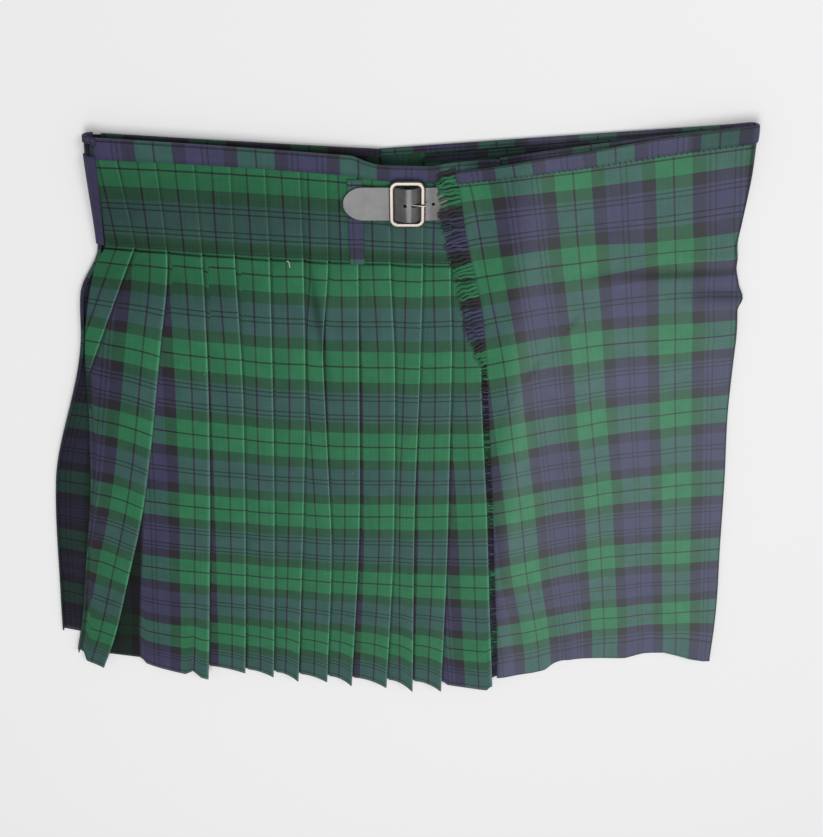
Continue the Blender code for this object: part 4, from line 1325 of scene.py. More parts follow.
@dataclass
class OverApron(Sheet):
    """The plain outer apron: its upper side, the right fold and the run below."""

    name: str = "outer_apron"
    node: str = "over_apron"
    rows: int = 150
    across: int = 84
    fold_steps: int = 12
    below: int = 22
    below_shade: float = 0.65
    hem_from: float = 6.3
    slack_share: float = 1.4
    least_lift: float = -0.45
    crowd: tuple[float, float] = (0.6, 0.22)
    crowd_x: tuple[float, float] = (150.0, 80.0)

    def edge_height(self, row: ApronRow) -> float:
        """The height of the apron's left part, which lies on the pleats."""
        return layer_height(3, row.lift) + row.left_up

    def stripes(self, row: ApronRow, x: np.ndarray) -> np.ndarray:
        """Warp places across the apron, true where its green stripes lie.

        Args:
            row: the section.
            x: places across.

        Returns:
            The places in half setts.
        """
        known = [green_at(row.setts, column) for column in ("x1", "x2", "x3")]
        found = np.interp(x, known, (0.0, 1.0, 2.0))
        found = np.where(x < known[0], (x - known[0]) / HALF_SETT, found)
        return np.where(x > known[2], 2.0 + (x - known[2]) / HALF_SETT, found)

    def line_y(self, row: ApronRow, x: np.ndarray) -> np.ndarray:
        """Y along a section, through the places where the green stripes cross it.

        Args:
            row: the section.
            x: places across.

        Returns:
            The Y of each place.
        """
        middle = (row.left_x + row.fold_x) / 2
        ends = (row.left_x, middle, row.fold_x)
        values = (row.left_y, row.mid_y, row.fold_y)
        plain = through_three(x, ends, values)
        lines = [(green_at(row.setts, "x" + n), green_at(row.setts, "y" + n)) for n in "123"]
        off = [y - through_three(px, ends, values) for px, y in lines]
        places = [row.left_x - 8.0, *[px for px, _ in lines], row.fold_x]
        line = plain + smooth_through(x, places, [0.0, *off, 0.0])
        edge = np.interp(x, HEM_X, HEM_Y)
        hem = ease((row.setts - self.hem_from) / (OVER_ROWS[-1].setts - self.hem_from)) ** 1.4
        return line + (edge - line) * hem

    def weft(self, x: np.ndarray, setts: float) -> np.ndarray:
        """Weft places of a section, closer together where the cloth bulges over at the hip.

        Args:
            x: places across.
            setts: the section's height on the cloth.

        Returns:
            The places in half setts.
        """
        off = setts - 1.0
        most, width = self.crowd
        share = np.clip((x - self.crowd_x[0]) / self.crowd_x[1], 0.0, 1.0)
        return setts + most * off * bell(off, 0.0, width) * share * share * (3.0 - 2.0 * share)

    def section(self, setts: float) -> tuple[np.ndarray, np.ndarray]:
        """One section: upper side, right fold and the run below.

        Args:
            setts: its height on the cloth.

        Returns:
            Points and warp places.
        """
        row = row_between(OVER_ROWS, setts)
        row = row._replace(fold_x=row.fold_x + smooth_at(setts, NOTCH_SETTS, NOTCH_OUT))
        left, flat = self.edge_height(row), layer_height(3, row.lift)
        start = max(crease_at(CREASES[-1], row.setts) + APRON_START[0], row.left_x + APRON_START[1])
        low = layer_height(0, row.lift)
        fold_y = np.array([row.fold_y])
        fold_top = flat + float(ridges_at(APRON_RIDGES, np.array([row.fold_x]), fold_y)[0])
        radius = (fold_top - low) / 2
        centre = row.fold_x - WALL / 2 - radius
        x = row.left_x + (centre - row.left_x) * np.linspace(0, 1, self.across)
        y = self.line_y(row, x)
        share = np.array([ease((v - start) / APRON_BLEND) for v in x])
        z = left + (flat - left) * share + ridges_at(APRON_RIDGES, x, y) * share
        wrinkles = ridges_at(APRON_WRINKLES, x, y) + slack(x, y) * self.slack_share
        z += np.maximum(wrinkles, self.least_lift)
        z[-1] = fold_top
        z[-2] = (z[-3] + 2 * z[-1]) / 3
        turn_x, turn_z = turn_under(centre, radius, low, self.fold_steps)
        turn_y = self.line_y(row, np.minimum(turn_x, row.fold_x))
        join = smooth_at(row.setts, [r.setts for r in LOWER_ROWS], [r.join_x for r in LOWER_ROWS]) + SEAM
        below_x = centre + (join - centre) * np.linspace(0, 1, self.below + 1)[1:]
        below_y = run_below(row, below_x, join, float(turn_y[-1]))
        below_z = np.full(self.below, low)
        points = np.column_stack(
            [
                np.concatenate([x, turn_x, below_x]),
                np.concatenate([y, turn_y, below_y]),
                np.concatenate([z, turn_z, below_z]),
            ]
        )
        warp = self.stripes(row, x)
        length = arc_lengths(points)
        beyond = warp[-1] + (length[self.across :] - length[self.across - 1]) / HALF_SETT
        return points, np.concatenate([warp, beyond])

    def grid(self) -> tuple[np.ndarray, np.ndarray, np.ndarray]:
        """Every section of the apron.

        Returns:
            Points, cut places and shades.
        """
        heights = np.linspace(OVER_ROWS[0].setts, OVER_ROWS[-1].setts, self.rows)
        made = [self.section(float(setts)) for setts in heights]
        points = np.array([m[0] for m in made])
        cut = np.array([np.column_stack([m[1], self.weft(m[0][:, 0], s)]) for m, s in zip(made, heights)])
        marks = ridges_at(APRON_SHADES, points[..., 0], points[..., 1])
        marks[:, self.across :] = -self.below_shade
        return points, cut, marks


@dataclass
class InnerApron(Sheet):
    """The plain inner apron, folded inside the outer one."""

    name: str = "inner_apron"
    node: str = "under_apron"
    rows: int = 60
    across: int = 30
    fold_steps: int = 10
    below: int = 12
    first_place: float = 0.3
    shade: float = 0.55

    def section(self, setts: float) -> np.ndarray:
        """One section of the inner apron.

        Args:
            setts: its height on the cloth.

        Returns:
            Its points.
        """
        row = row_between(INNER_ROWS, setts)
        left, flat = upper_base(row.lift) + WALL / 2, layer_height(2, row.lift)
        low = layer_height(1, row.lift)
        rise = float(ridges_at(APRON_RIDGES, np.array([row.fold_x]), np.array([row.fold_y]))[0])
        inset = LEVEL + LAYER_LIFT * row.lift + FOLD_EASE * rise / 2
        radius = (flat - low) / 2
        centre = row.fold_x - WALL / 2 - inset - radius
        middle = (row.left_x + row.fold_x) / 2
        ends, values = (row.left_x, middle, row.fold_x), (row.left_y, row.mid_y, row.fold_y)
        x = row.left_x + (centre - row.left_x) * np.linspace(0, 1, self.across)
        share = np.array([ease((v - row.left_x) / APRON_BLEND) for v in x])
        z = left + (flat - left) * share
        turn_x, turn_z = turn_under(centre, radius, low, self.fold_steps)
        free = float(np.interp(row.setts, (INNER_ROWS[0].setts, INNER_ROWS[-1].setts), INNER_FREE_X))
        below_x = centre + (free - centre) * np.linspace(0, 1, self.below + 1)[1:]
        below_y = run_below(row, below_x, free, row.fold_y)
        across_x = np.concatenate([x, turn_x])
        return np.column_stack(
            [
                np.concatenate([across_x, below_x]),
                np.concatenate([through_three(across_x, ends, values), below_y - RETURN_DROP * row.lift]),
                np.concatenate([z, turn_z, np.full(self.below, low)]),
            ]
        )

    def grid(self) -> tuple[np.ndarray, np.ndarray, np.ndarray]:
        """Every section of the inner apron.

        Returns:
            Points, cut places and shades.
        """
        heights = np.linspace(INNER_ROWS[0].setts, INNER_ROWS[-1].setts, self.rows)
        points = np.array([self.section(float(setts)) for setts in heights])
        cut = [
            np.column_stack([self.first_place + arc_lengths(p) / HALF_SETT, np.full(len(p), setts)])
            for p, setts in zip(points, heights)
        ]
        return points, np.array(cut), np.full(points.shape[:2], -self.shade)


@dataclass
class Waistband:
    """A binding cut along the cloth's blue band and folded over one stretch of the top edge."""

    name: str
    node: str
    top: np.ndarray
    low: np.ndarray
    reach: float
    first_place: float
    middle: float = 0.5
    shade: float = 0.0
    tail: float = 0.0
    inside: float = 4.0
    thick: float = 0.8
    face_shares: tuple[float, ...] = (0.0, 0.06, 0.3, 0.55, 0.8, 0.93)
    turns: tuple[float, ...] = (78, 52, 26, 0, -26, -52, -78)
    tail_from: tuple[float, float] = (38.0, 20.0)
    edge_shade: float = 0.2
    below_shade: float = 0.3
    low_share: float = 0.075

    def away(self, line: np.ndarray) -> np.ndarray:
        """Unit directions out of the cloth along one edge.

        Args:
            line: the edge's points.

        Returns:
            One direction for each point.
        """
        step = np.gradient(line[:, [0, 2]], axis=0)
        step /= np.linalg.norm(step, axis=1)[:, None]
        return np.column_stack([-step[:, 1], np.zeros(len(line)), step[:, 0]])

    def build(self, binding: bpy.types.Material) -> bpy.types.Object:
        """Make and dress the binding.

        Args:
            binding: the cloth's material.

        Returns:
            The finished piece.
        """
        out_top, out_low = self.away(self.top), self.away(self.low)
        upward = np.array([0.0, 1.0, 0.0])
        rows = []
        for share in self.face_shares:
            out = out_low + (out_top - out_low) * share
            swell = self.reach - 0.35 * (1 - ease(share / 0.1)) + 0.2 * math.sin(math.pi * share)
            rows.append(self.low + (self.top - self.low) * share + swell * out)
        for turn in self.turns:
            angle = math.radians(turn)
            up = 0.1 + STEP_OFF * math.cos(angle)
            rows.append(self.top + self.reach * math.sin(angle) * out_top + up * upward)
        down = (self.low - self.top) / np.linalg.norm(self.low - self.top, axis=1)[:, None]
        rows.append(self.top + down * self.inside - self.reach * out_top)
        points = np.array(rows)
        along = np.concatenate([[0], np.cumsum(np.linalg.norm(np.diff(self.low, axis=0), axis=1))])
        steps = np.linalg.norm(np.diff(points[:, len(self.top) // 2], axis=0), axis=1)
        across = np.concatenate([[0], np.cumsum(steps)]) / HALF_SETT
        cut = np.zeros((*points.shape[:2], 2))
        cut[:, :, 0] = self.first_place + along[None, :] / HALF_SETT
        cut[:, :, 1] = self.middle - self.low_share + across[:, None]
        marks = np.full(points.shape[:2], -self.shade)
        # Painted shade, deeper along the front binding's tail toward the apron.
        marks -= self.tail * np.clip((points[..., 0] - self.tail_from[0]) / self.tail_from[1], 0.0, 1.0)
        marks[:2] -= self.edge_shade
        if self.reach == STEP_OFF:
            marks[:, points.shape[1] // 2 + 8 :] -= self.below_shade
        item = cloth_object(self.name, points, cut, marks, self.thick)
        return finish_piece(item, binding, (self.node,) if self.node else ())


def level_line(y: Sequence[float], places: Sequence[float], z: float, x: np.ndarray) -> np.ndarray:
    """An even line across a pleated stack, at its middle height."""
    return np.array([(v, through_three(v, places, y), z) for v in x])


def waistbands(over: OverApron, inner: InnerApron) -> list[Waistband]:
    """The four stretches of binding.

    Args:
        over: the outer apron, whose top edge one stretch follows.
        inner: the inner apron, whose top edge another follows.

    Returns:
        The stretches, not yet built.
    """
    reach = STACK / 2 + SEAM + WALL / 2
    z = upper_base(1.0) + STACK / 2
    x = np.linspace(UPPER_ROWS[0].edge_x + 0.5, 74.6, 110)
    front = [level_line(row[3:6], UPPER_X, z, x) for row in UPPER_ROWS[:2]]
    for line, row in zip(front, UPPER_ROWS):
        line[:, 1] += [waist_dip(float(v), row.setts) for v in x]
    z = UNDER_BASE + UNDER_LIFT + LEVEL
    x = np.linspace(LOWER_ROWS[0].join_x + 1.6, LOWER_ROWS[0].fold_x + 14.0, 50)
    back = [level_line(row[3:6], LOWER_X, z, x) for row in LOWER_ROWS[:2]]
    outer = [over.section(setts)[0] for setts in (OVER_ROWS[0].setts, BAND_LOW)]
    inside = [inner.section(row.setts) for row in INNER_ROWS[:2]]
    corner = [corner_line(upper, lower) for upper, lower in zip(UPPER_ROWS[:2], LOWER_ROWS[:2])]
    return [
        Waistband("binding_upper", "waistband_front", *front, reach, 0.43, tail=0.5),
        Waistband("binding_lower", "waistband_back", *back, reach, 0.3, shade=0.66),
        Waistband("binding_outer_apron", "waistband_over_apron", *outer, STEP_OFF, 0.44),
        Waistband("binding_inner_apron", "waistband_under_apron", *inside, STEP_OFF, 0.1, shade=0.5),
        Waistband("binding_corner", "", *corner, STEP_OFF, 0.3, shade=0.1),
    ]


def corner_line(upper: UpperRow, lower: LowerRow) -> np.ndarray:
    """The waistband's line round the left fold, from the underside up to the pleats.

    Args:
        upper: the upper pleats' row.
        lower: the underside's row at the same height.

    Returns:
        Points in pattern millimetres.
    """
    floor = UNDER_BASE + UNDER_LIFT * lower.lift
    centre = lower.fold_x + WALL / 2 + lower.fold_up
    line = []
    for i, angle in enumerate(np.radians(np.linspace(-262, -92, 15))):
        share = ease(1.0 - i / 14)
        x = centre + lower.fold_up * math.cos(angle)
        y_low, y_high = through_three(x, LOWER_X, lower[3:6]), through_three(x, UPPER_X, upper[3:6])
        z = floor + lower.fold_up * (1 + math.sin(angle))
        line.append((x, y_low + (y_high + 1.5 - y_low) * share, z))
    last = line[0]
    run = [(last[0] + step, last[1] - step * 0.25, last[2] + 1.1 * step / 6.5) for step in (6.5, 4.0, 1.8)]
    return np.array(run + line)


@dataclass
class BeltLoops:
    """The narrow upright loop beside the strap's tip, and the loop down the left fold."""

    hip_x: tuple[float, float] = (-55.0, -42.0)
    hip_y: tuple[float, float] = (249.0, 168.5)
    side_run: tuple[float, float] = (4.6, 2.8)
    side_setts: tuple[float, float] = (-0.2, 0.77)
    side_bend: float = 118.0
    thick: float = 0.9

    def hip(self, binding: bpy.types.Material) -> bpy.types.Object:
        """The loop at the hip, its long edges turned under.

        Args:
            binding: the cloth's material.

        Returns:
            The finished piece.
        """
        points, cut = [], []
        for y in np.linspace(*self.hip_y, 40):
            row = []
            for share in np.linspace(0, 1, 9):
                x = self.hip_x[0] + (self.hip_x[1] - self.hip_x[0]) * share
                edge = 0.5 * (1 - ease(min(share, 1 - share) * 7))
                row.append(on_face(x, y, 0.75 + 0.45 - edge + 0.1 * math.sin(y / 6.0)))
            points.append(row)
            cut.append([(0.36 + 0.15 * s, (244.0 - y) / HALF_SETT) for s in np.linspace(0, 1, 9)])
        marks = np.zeros((40, 9))
        item = cloth_object("loop_at_hip", np.array(points), np.array(cut), marks, self.thick)
        return finish_piece(item, binding, ("belt_loop_hip",))

    def side(self, binding: bpy.types.Material) -> bpy.types.Object:
        """The loop down the left fold, bent round it.

        Args:
            binding: the cloth's material.

        Returns:
            The finished piece.
        """
        points, cut = [], []
        for setts in np.linspace(*self.side_setts, 30):
            upper = row_between(UPPER_ROWS, float(setts))
            lower = row_between(LOWER_ROWS, float(setts))
            centre = lower.fold_x + WALL / 2 + lower.fold_up
            reach = lower.fold_up + STEP_OFF
            middle = UNDER_BASE + UNDER_LIFT * upper.lift + lower.fold_up
            run = float(np.interp(setts, self.side_setts, self.side_run))
            line = [(centre + run * s, middle + reach) for s in (1.0, 0.5, 0.0)]
            for turn in np.linspace(90, 90 + self.side_bend, 10)[1:]:
                angle = math.radians(turn)
                line.append((centre + reach * math.cos(angle), middle + reach * math.sin(angle)))
            section = np.array([(x, through_three(x, UPPER_X, upper[3:6]), z) for x, z in line])
            points.append(section)
            length = arc_lengths(section) / HALF_SETT
            cut.append(np.column_stack([0.42 + length, np.full(len(line), 0.5 + (setts - 0.3) * 0.16)]))
        points_array = np.array(points)
        # Painted shade all over the side loop.
        marks = np.full(points_array.shape[:2], -0.25)
        item = cloth_object("loop_at_side", points_array, np.array(cut), marks, self.thick)
        return finish_piece(item, binding, ("belt_loop_side",))


def tube(
    shape: bmesh.types.BMesh,
    route: np.ndarray,
    radius: float,
    sides: int,
    cut: tuple[float, float] = (0.0, 0.0),
    taper: float = 0.6,
    mark: float = 0.0,
) -> None:
    """Add one closed strand along a route to a shape.

    Args:
        shape: what it is added to, with a UV layer.
        route: its points in pattern millimetres.
        radius: its radius in millimetres.
        sides: how many sides it has.
        cut: its place on the cut cloth, which gives its colour.
        taper: its last radius, as a share of the first.
        mark: how much painted highlight, or with a minus painted shade, it gets over its dye.
    """
    layer = shape.loops.layers.uv.verify()
    marks = shape.verts.layers.float.get("painted_shading") or shape.verts.layers.float.new("painted_shading")
    along = np.gradient(route, axis=0)
    along /= np.linalg.norm(along, axis=1)[:, None] + 1e-9
    rings = []
    for i, (centre, ahead) in enumerate(zip(route, along)):
        side = np.cross(ahead, (0.0, 0.0, 1.0))
        side /= np.linalg.norm(side) + 1e-9
        up = np.cross(side, ahead)
        size = radius * (1 - (1 - taper) * (i / (len(route) - 1)) ** 2)
        ring = []
        for k in range(sides):
            angle = 2 * math.pi * k / sides
            point = centre + size * (math.cos(angle) * side + math.sin(angle) * up)
            corner = shape.verts.new(place(point))
            corner[marks] = mark
            ring.append(corner)
        rings.append(ring)
    faces = [shape.faces.new(rings[0][::-1]), shape.faces.new(rings[-1])]
    for a, b in zip(rings, rings[1:]):
        for k in range(sides):
            n = (k + 1) % sides
            faces.append(shape.faces.new((a[k], a[n], b[n], b[k])))
    for face in faces:
        face.smooth = True
        for loop in face.loops:
            loop[layer].uv = cut


def strands_object(name: str, shape: bmesh.types.BMesh) -> bpy.types.Object:
    """Turn a shape of strands into an object with outward faces and a cut map.

    Args:
        name: the piece's name.
        shape: the strands, which are used up.

    Returns:
        The new object.
    """
    bmesh.ops.recalc_face_normals(shape, faces=shape.faces)
    mesh = bpy.data.meshes.new(name)
    shape.to_mesh(mesh)
    shape.free()
    mesh.uv_layers[0].name = "cut"
    mesh.attributes.new("painted_sheen", "FLOAT", "POINT")
    return new_object(name, mesh)


@dataclass
class Fringe:
    """Yarns drawn out along the outer apron's left edge, flattened by pressing and a little wavy."""

    top_y: float = 259.5
    low_y: float = 66.0
    yarns: int = 400
    end_y: tuple[float, ...] = (60.0, 70.0, 97.0, 142.0, 157.5, 177.0, 214.5, 244.0, 262.0)
    end_x: tuple[float, ...] = (66.0, 61.0, 50.0, 40.0, 37.0, 31.0, 23.5, 21.0, 21.0)
    drop: float = 4.2
    radius: float = 0.4
    lock: int = 8
    seed: int = 7

    def ground(self, x: float, y: float) -> float:
        """The height that the fringe lies on.

        Args:
            x: the place across.
            y: the place along.

        Returns:
            The Z of what is under it.
        """
        lift = lift_at(x, y)
        band = through_three(x, UPPER_X, UPPER_ROWS[1][3:6])
        height = upper_base(lift) + STACK
        if y > band - 3.0:
            height += STEP_OFF
        if abs(y - 227.6) < 18.5:
            height = max(height, upper_base(lift) + STACK + 2.9)
        return height

    def edge(self, y: float) -> tuple[float, float, float]:
        """The apron's left edge.

        Args:
            y: the place along it.

        Returns:
            Its X, its Z and the place on the cut cloth.
        """
        places = [-row.left_y for row in OVER_ROWS]
        x = float(np.interp(-y, places, [row.left_x for row in OVER_ROWS]))
        heights = [layer_height(3, row.lift) + row.left_up for row in OVER_ROWS]
        z = float(np.interp(-y, places, heights))
        setts = float(np.interp(-y, places, [row.setts for row in OVER_ROWS]))
        return x, z, setts

    def upper(self, tartan: bpy.types.Material) -> bpy.types.Object:
        """The fringe that lies on the pleats.

        Args:
            tartan: the yarns' material.

        Returns:
            The finished piece.
        """
        chance = np.random.default_rng(self.seed)
        shape = bmesh.new()
        for i in range(self.yarns):
            y0 = self.top_y + (self.low_y - self.top_y) * (i + chance.uniform(-0.4, 0.4)) / self.yarns
            x0, z0, setts = self.edge(y0)
            group, side = i // self.lock, 2.0 * (i % self.lock + 0.5) / self.lock - 1.0
            lock = math.sin(group * 1.52) + 0.7 * math.sin(group * 0.66 + 1.0)
            drop = self.drop + 2.4 * math.sin(group * 0.88 + 0.5) + chance.uniform(-0.4, 0.4)
            drop -= 0.5 * side * self.lock * (self.top_y - self.low_y) / self.yarns * 0.2
            end = float(np.interp(y0 - drop, self.end_y, self.end_x))
            length = (x0 - end) * (1.0 + 0.05 * lock - 0.03 * side * side + chance.uniform(-0.06, 0.02))
            phase, wave = 1.1 * group + chance.uniform(-0.25, 0.25), 0.85 + 0.4 * lock
            over = 1.5 * (1.0 - side * side) + chance.uniform(0.0, 0.3)
            route = []
            for share in np.linspace(0, 1, 10):
                x = x0 + 0.5 - length * share
                sway = wave * math.sin(phase + 11.0 * share) * (0.25 + 0.75 * share)
                y = y0 - drop * share**1.4 + sway
                low = self.ground(x, y) + self.radius + 0.05
                z = z0 + (low + over - z0) * ease(share * 2.6) - 0.5 * over * max(0.0, share - 0.7)
                route.append((x, y, max(z, low)))
            # Painted light and shade: lighter in a lock's middle, painted shade at its edges where the
            # locks part.
            light = 0.42 - 1.15 * side * side + chance.uniform(-0.25, 0.25)
            tube(shape, np.array(route), self.radius, 3, (setts, setts), mark=light)
        item = strands_object("fringe_upper", shape)
        return finish_piece(item, tartan, ("apron_fringe",))

    def lower(self, tartan: bpy.types.Material) -> bpy.types.Object:
        """The short yarns beside the last pleat, tucked under its crease down to the hem.

        Args:
            tartan: the yarns' material.

        Returns:
            The finished piece.
        """
        chance = np.random.default_rng(self.seed + 1)
        shape = bmesh.new()
        for y0 in np.arange(self.low_y + 2.0, -345.0, -0.95):
            y0 += chance.uniform(-0.6, 0.6)
            x0, z0, setts = self.edge(y0)
            crease = crease_at(CREASES[-1], setts)
            length = max(min(x0 - crease + 2.0, 10.0), 4.0) * chance.uniform(0.6, 1.1)
            bend = chance.uniform(-3.2, 2.0)
            rise = chance.uniform(-0.4, 1.0)
            route = []
            for share in np.linspace(0, 1, 5):
                x = x0 + 0.6 - length * share
                y = y0 + bend * share * share
                route.append((x, y, z0 - 0.6 * share + rise * math.sin(math.pi * 0.8 * share)))
            # Painted shade on most of these yarns, which lie in the shadow of the last crease; a few are
            # made lighter specks.
            speck = chance.uniform() < 0.16
            mark = 0.9 if speck else -0.78
            tube(shape, np.array(route), self.radius * 0.9, 3, (setts, setts), mark=mark)
        item = strands_object("fringe_lower", shape)
        return finish_piece(item, tartan)


@dataclass
class HipStrap:
    """The leather strap: pointed tip, over the buckle's bar, under the apron."""

    middle_y: float = 227.6
    width: float = 30.6
    thick: float = 2.2
    tip_x: float = -59.3
    tip_length: float = 17.0
    holes: tuple[float, ...] = (18.9, -5.6)
    hole_radius: float = 1.5
    prong_hole: tuple[float, float, float] = (3.4, 7.6, 3.4)
    stations: tuple[tuple[float, float], ...] = (
        (-42.0, 2.9),
        (-26.0, 2.9),
        (-16.0, 3.0),
        (-11.0, 4.6),
        (-6.5, 7.2),
        (-3.4, 8.1),
        (-0.6, 8.1),
        (2.4, 7.0),
        (6.2, 3.6),
        (9.5, 2.8),
        (14.0, 2.7),
        (20.0, 2.2),
        (30.0, 1.4),
        (46.0, 1.4),
        (66.0, 1.4),
    )

    def build(self, leather: bpy.types.Material) -> bpy.types.Object:
        """Make and dress the strap.

        Args:
            leather: its material.

        Returns:
            The finished piece.
        """
        places, heights = zip(*self.stations)
        rows = []
        shares = (0.02, 0.08, 0.18, 0.32, 0.5, 0.7, 0.88)
        spots = [self.tip_x + self.tip_length * s for s in shares]
        wide = [math.sqrt(1 - (1 - s) ** 2) ** 1.15 for s in shares]
        more = np.arange(-41.5, 66.0, 1.25)
        for x, share in [*zip(spots, wide), *[(float(v), 1.0) for v in more]]:
            up = smooth_at(x, places, heights)
            half = self.width / 2 * share
            row = []
            for s in (1, 0.97, 0.9, 0.5, 0, -0.5, -0.9, -0.97, -1):
                y = self.middle_y + half * s
                row.append(on_face(x, y, up + 0.12 * math.sin(x / 7.0) * abs(s)))
            rows.append(row)
        grid = np.array(rows)
        marks = np.zeros(grid.shape[:2])
        item = cloth_object("hip_strap", grid, np.zeros((*grid.shape[:2], 2)), marks, self.thick)
        add_bevel(item, 0.5, 2, 50)
        apply_modifiers(item)
        for x in self.holes:
            self.punch(item, x, (self.hole_radius, self.hole_radius))
        x, long, wide_slot = self.prong_hole
        self.punch(item, x, (long / 2, wide_slot / 2))
        smooth_by_angle(item, 40)
        return finish_piece(item, leather, ("strap",))

    def punch(self, item: bpy.types.Object, x: float, size: tuple[float, float]) -> None:
        """Punch one hole through the strap.

        Args:
            item: the strap.
            x: where the hole is along it.
            size: its half length and half width.
        """
        bpy.ops.object.select_all(action="DESELECT")
        centre = place(np.array([x, self.middle_y, 16.0]))
        bpy.ops.mesh.primitive_cylinder_add(vertices=24, radius=MM, depth=0.03, location=centre)
        cutter = bpy.context.object
        cutter.scale = (size[0], size[1], 1.0)
        bpy.ops.object.transform_apply(location=True, rotation=False, scale=True)
        hole = item.modifiers.new("hole", "BOOLEAN")
        hole.object = cutter
        hole.solver = "EXACT"
        apply_modifiers(item)
        bpy.data.objects.remove(cutter, do_unlink=True)


@dataclass
class Buckle:
    """The polished frame, its middle bar and prong, and the leather tab that sews it on."""

    left: float = -19.3
    right: float = 12.0
    low: float = 206.6
    high: float = 249.4
    bar: float = 4.4
    thick: float = 2.7
    corner: float = 7.5
    up: float = 5.9
    middle_x: float = -2.0
    middle_up: float = 3.7
    middle_radius: float = 1.2
    strap_y: float = 227.6

    def slope(self, item: bpy.types.Object) -> None:
        """Lay a piece that was made level on the pleats' slope under the buckle."""
        low = on_face(self.middle_x, self.low, 0.0)[2]
        high = on_face(self.middle_x, self.high, 0.0)[2]
        base, slope = (low + high) / 2, (high - low) / (self.high - self.low)
        middle = (self.strap_y + SHIFT[1]) * MM
        for vertex in item.data.vertices:
            vertex.co.z += base * MM + slope * (vertex.co.y - middle)

    def frame(self, steel: bpy.types.Material) -> bpy.types.Object:
        """The rounded frame, flat on top with bevelled edges, and its bar.

        Args:
            steel: its material.

        Returns:
            The finished piece.
        """
        bpy.ops.object.select_all(action="DESELECT")
        middle = np.array([(self.left + self.right) / 2, (self.low + self.high) / 2, self.up])
        bpy.ops.mesh.primitive_plane_add(size=1.0, location=place(middle))
        item = bpy.context.object
        item.name = "buckle_frame_polished"
        item.scale = ((self.right - self.left) * MM, (self.high - self.low) * MM, 1.0)
        bpy.ops.object.transform_apply(location=True, rotation=False, scale=True)
        bpy.ops.object.mode_set(mode="EDIT")
        bpy.ops.mesh.select_all(action="SELECT")
        bpy.ops.mesh.bevel(offset=self.corner * MM, segments=9, affect="VERTICES")
        bpy.ops.mesh.select_all(action="SELECT")
        bpy.ops.mesh.inset(thickness=self.bar * MM, depth=0.0)
        bpy.ops.mesh.delete(type="FACE")
        bpy.ops.object.mode_set(mode="OBJECT")
        wall = item.modifiers.new("depth", "SOLIDIFY")
        wall.thickness = self.thick * MM
        wall.offset = 0.0
        add_bevel(item, 1.28, 6, 60)
        apply_modifiers(item)
        half = (self.high - self.low) / 2 - self.bar / 2
        centre = place(np.array([self.middle_x, middle[1], self.middle_up]))
        bpy.ops.object.select_all(action="DESELECT")
        bpy.ops.mesh.primitive_cylinder_add(
            vertices=20,
            radius=self.middle_radius * MM,
            depth=2 * half * MM,
            location=centre,
            rotation=(math.radians(90), 0, 0),
        )
        bar = bpy.context.object
        bpy.ops.object.transform_apply(location=True, rotation=True, scale=True)
        item.select_set(True)
        bpy.context.view_layer.objects.active = item
        bpy.ops.object.join()
        self.slope(item)
        smooth_by_angle(item, 35)
        return finish_piece(item, steel, ("buckle_frame",))

    def prong(self, steel: bpy.types.Material) -> bpy.types.Object:
        """The prong: round the middle bar, its blunt tip across the right bar.

        Args:
            steel: its material.

        Returns:
            The finished piece.
        """
        loop = self.middle_radius + SEAM + 0.7
        route = []
        for turn in np.linspace(-290, -20, 16)[::-1]:
            angle = math.radians(turn)
            x = self.middle_x + loop * math.cos(angle)
            route.append((x, self.strap_y, self.middle_up + loop * math.sin(angle)))
        run = [(4.0, 7.0), (7.6, 8.2), (10.4, 8.45), (self.right + 1.6, 8.25)]
        route += [(x, self.strap_y, up) for x, up in run]
        shape = bmesh.new()
        tube(shape, np.array(route), 0.8, 10, taper=0.8)
        item = strands_object("buckle_prong_polished", shape)
        self.slope(item)
        return finish_piece(item, steel, ("buckle_prong",))

    def tab(self, leather: bpy.types.Material) -> bpy.types.Object:
        """The leather tab round the middle bar, slotted for the prong.

        Args:
            leather: its material.

        Returns:
            The finished piece.
        """
        reach = self.middle_radius + SEAM + 0.55
        line = [(-31.0, 0.85), (-20.0, 0.85), (-10.0, 0.85), (self.middle_x - 3.4, 1.1)]
        for turn in np.linspace(250, 480, 14):
            angle = math.radians(turn)
            x = self.middle_x + reach * math.cos(angle)
            line.append((x, self.middle_up + reach * math.sin(angle)))
        shape = bmesh.new()
        grid = [
            [shape.verts.new(place(np.array((x, self.strap_y + y, z)))) for y in (-11.0, -2.2, 2.2, 11.0)]
            for x, z in line
        ]
        for i in range(len(line) - 1):
            for j in range(3):
                if j == 1 and i >= 2:
                    continue
                shape.faces.new((grid[i][j], grid[i + 1][j], grid[i + 1][j + 1], grid[i][j + 1]))
        mesh = bpy.data.meshes.new("buckle_tab_leather")
        shape.to_mesh(mesh)
        shape.free()
        item = new_object("buckle_tab_leather", mesh)
        self.slope(item)
        wall = item.modifiers.new("wall", "SOLIDIFY")
        wall.thickness = 1.1 * MM
        wall.offset = 0.0
        apply_modifiers(item)
        smooth_by_angle(item, 40)
        return finish_piece(item, leather, ("buckle_tab",))


def stitch(start: Sequence[float], end: Sequence[float], rise: float) -> np.ndarray:
    """A short thread's route, whose middle rises by a little."""
    middle = [(a + b) / 2 for a, b in zip(start, end)]
    return np.array([start, (middle[0], middle[1], middle[2] + rise), end])


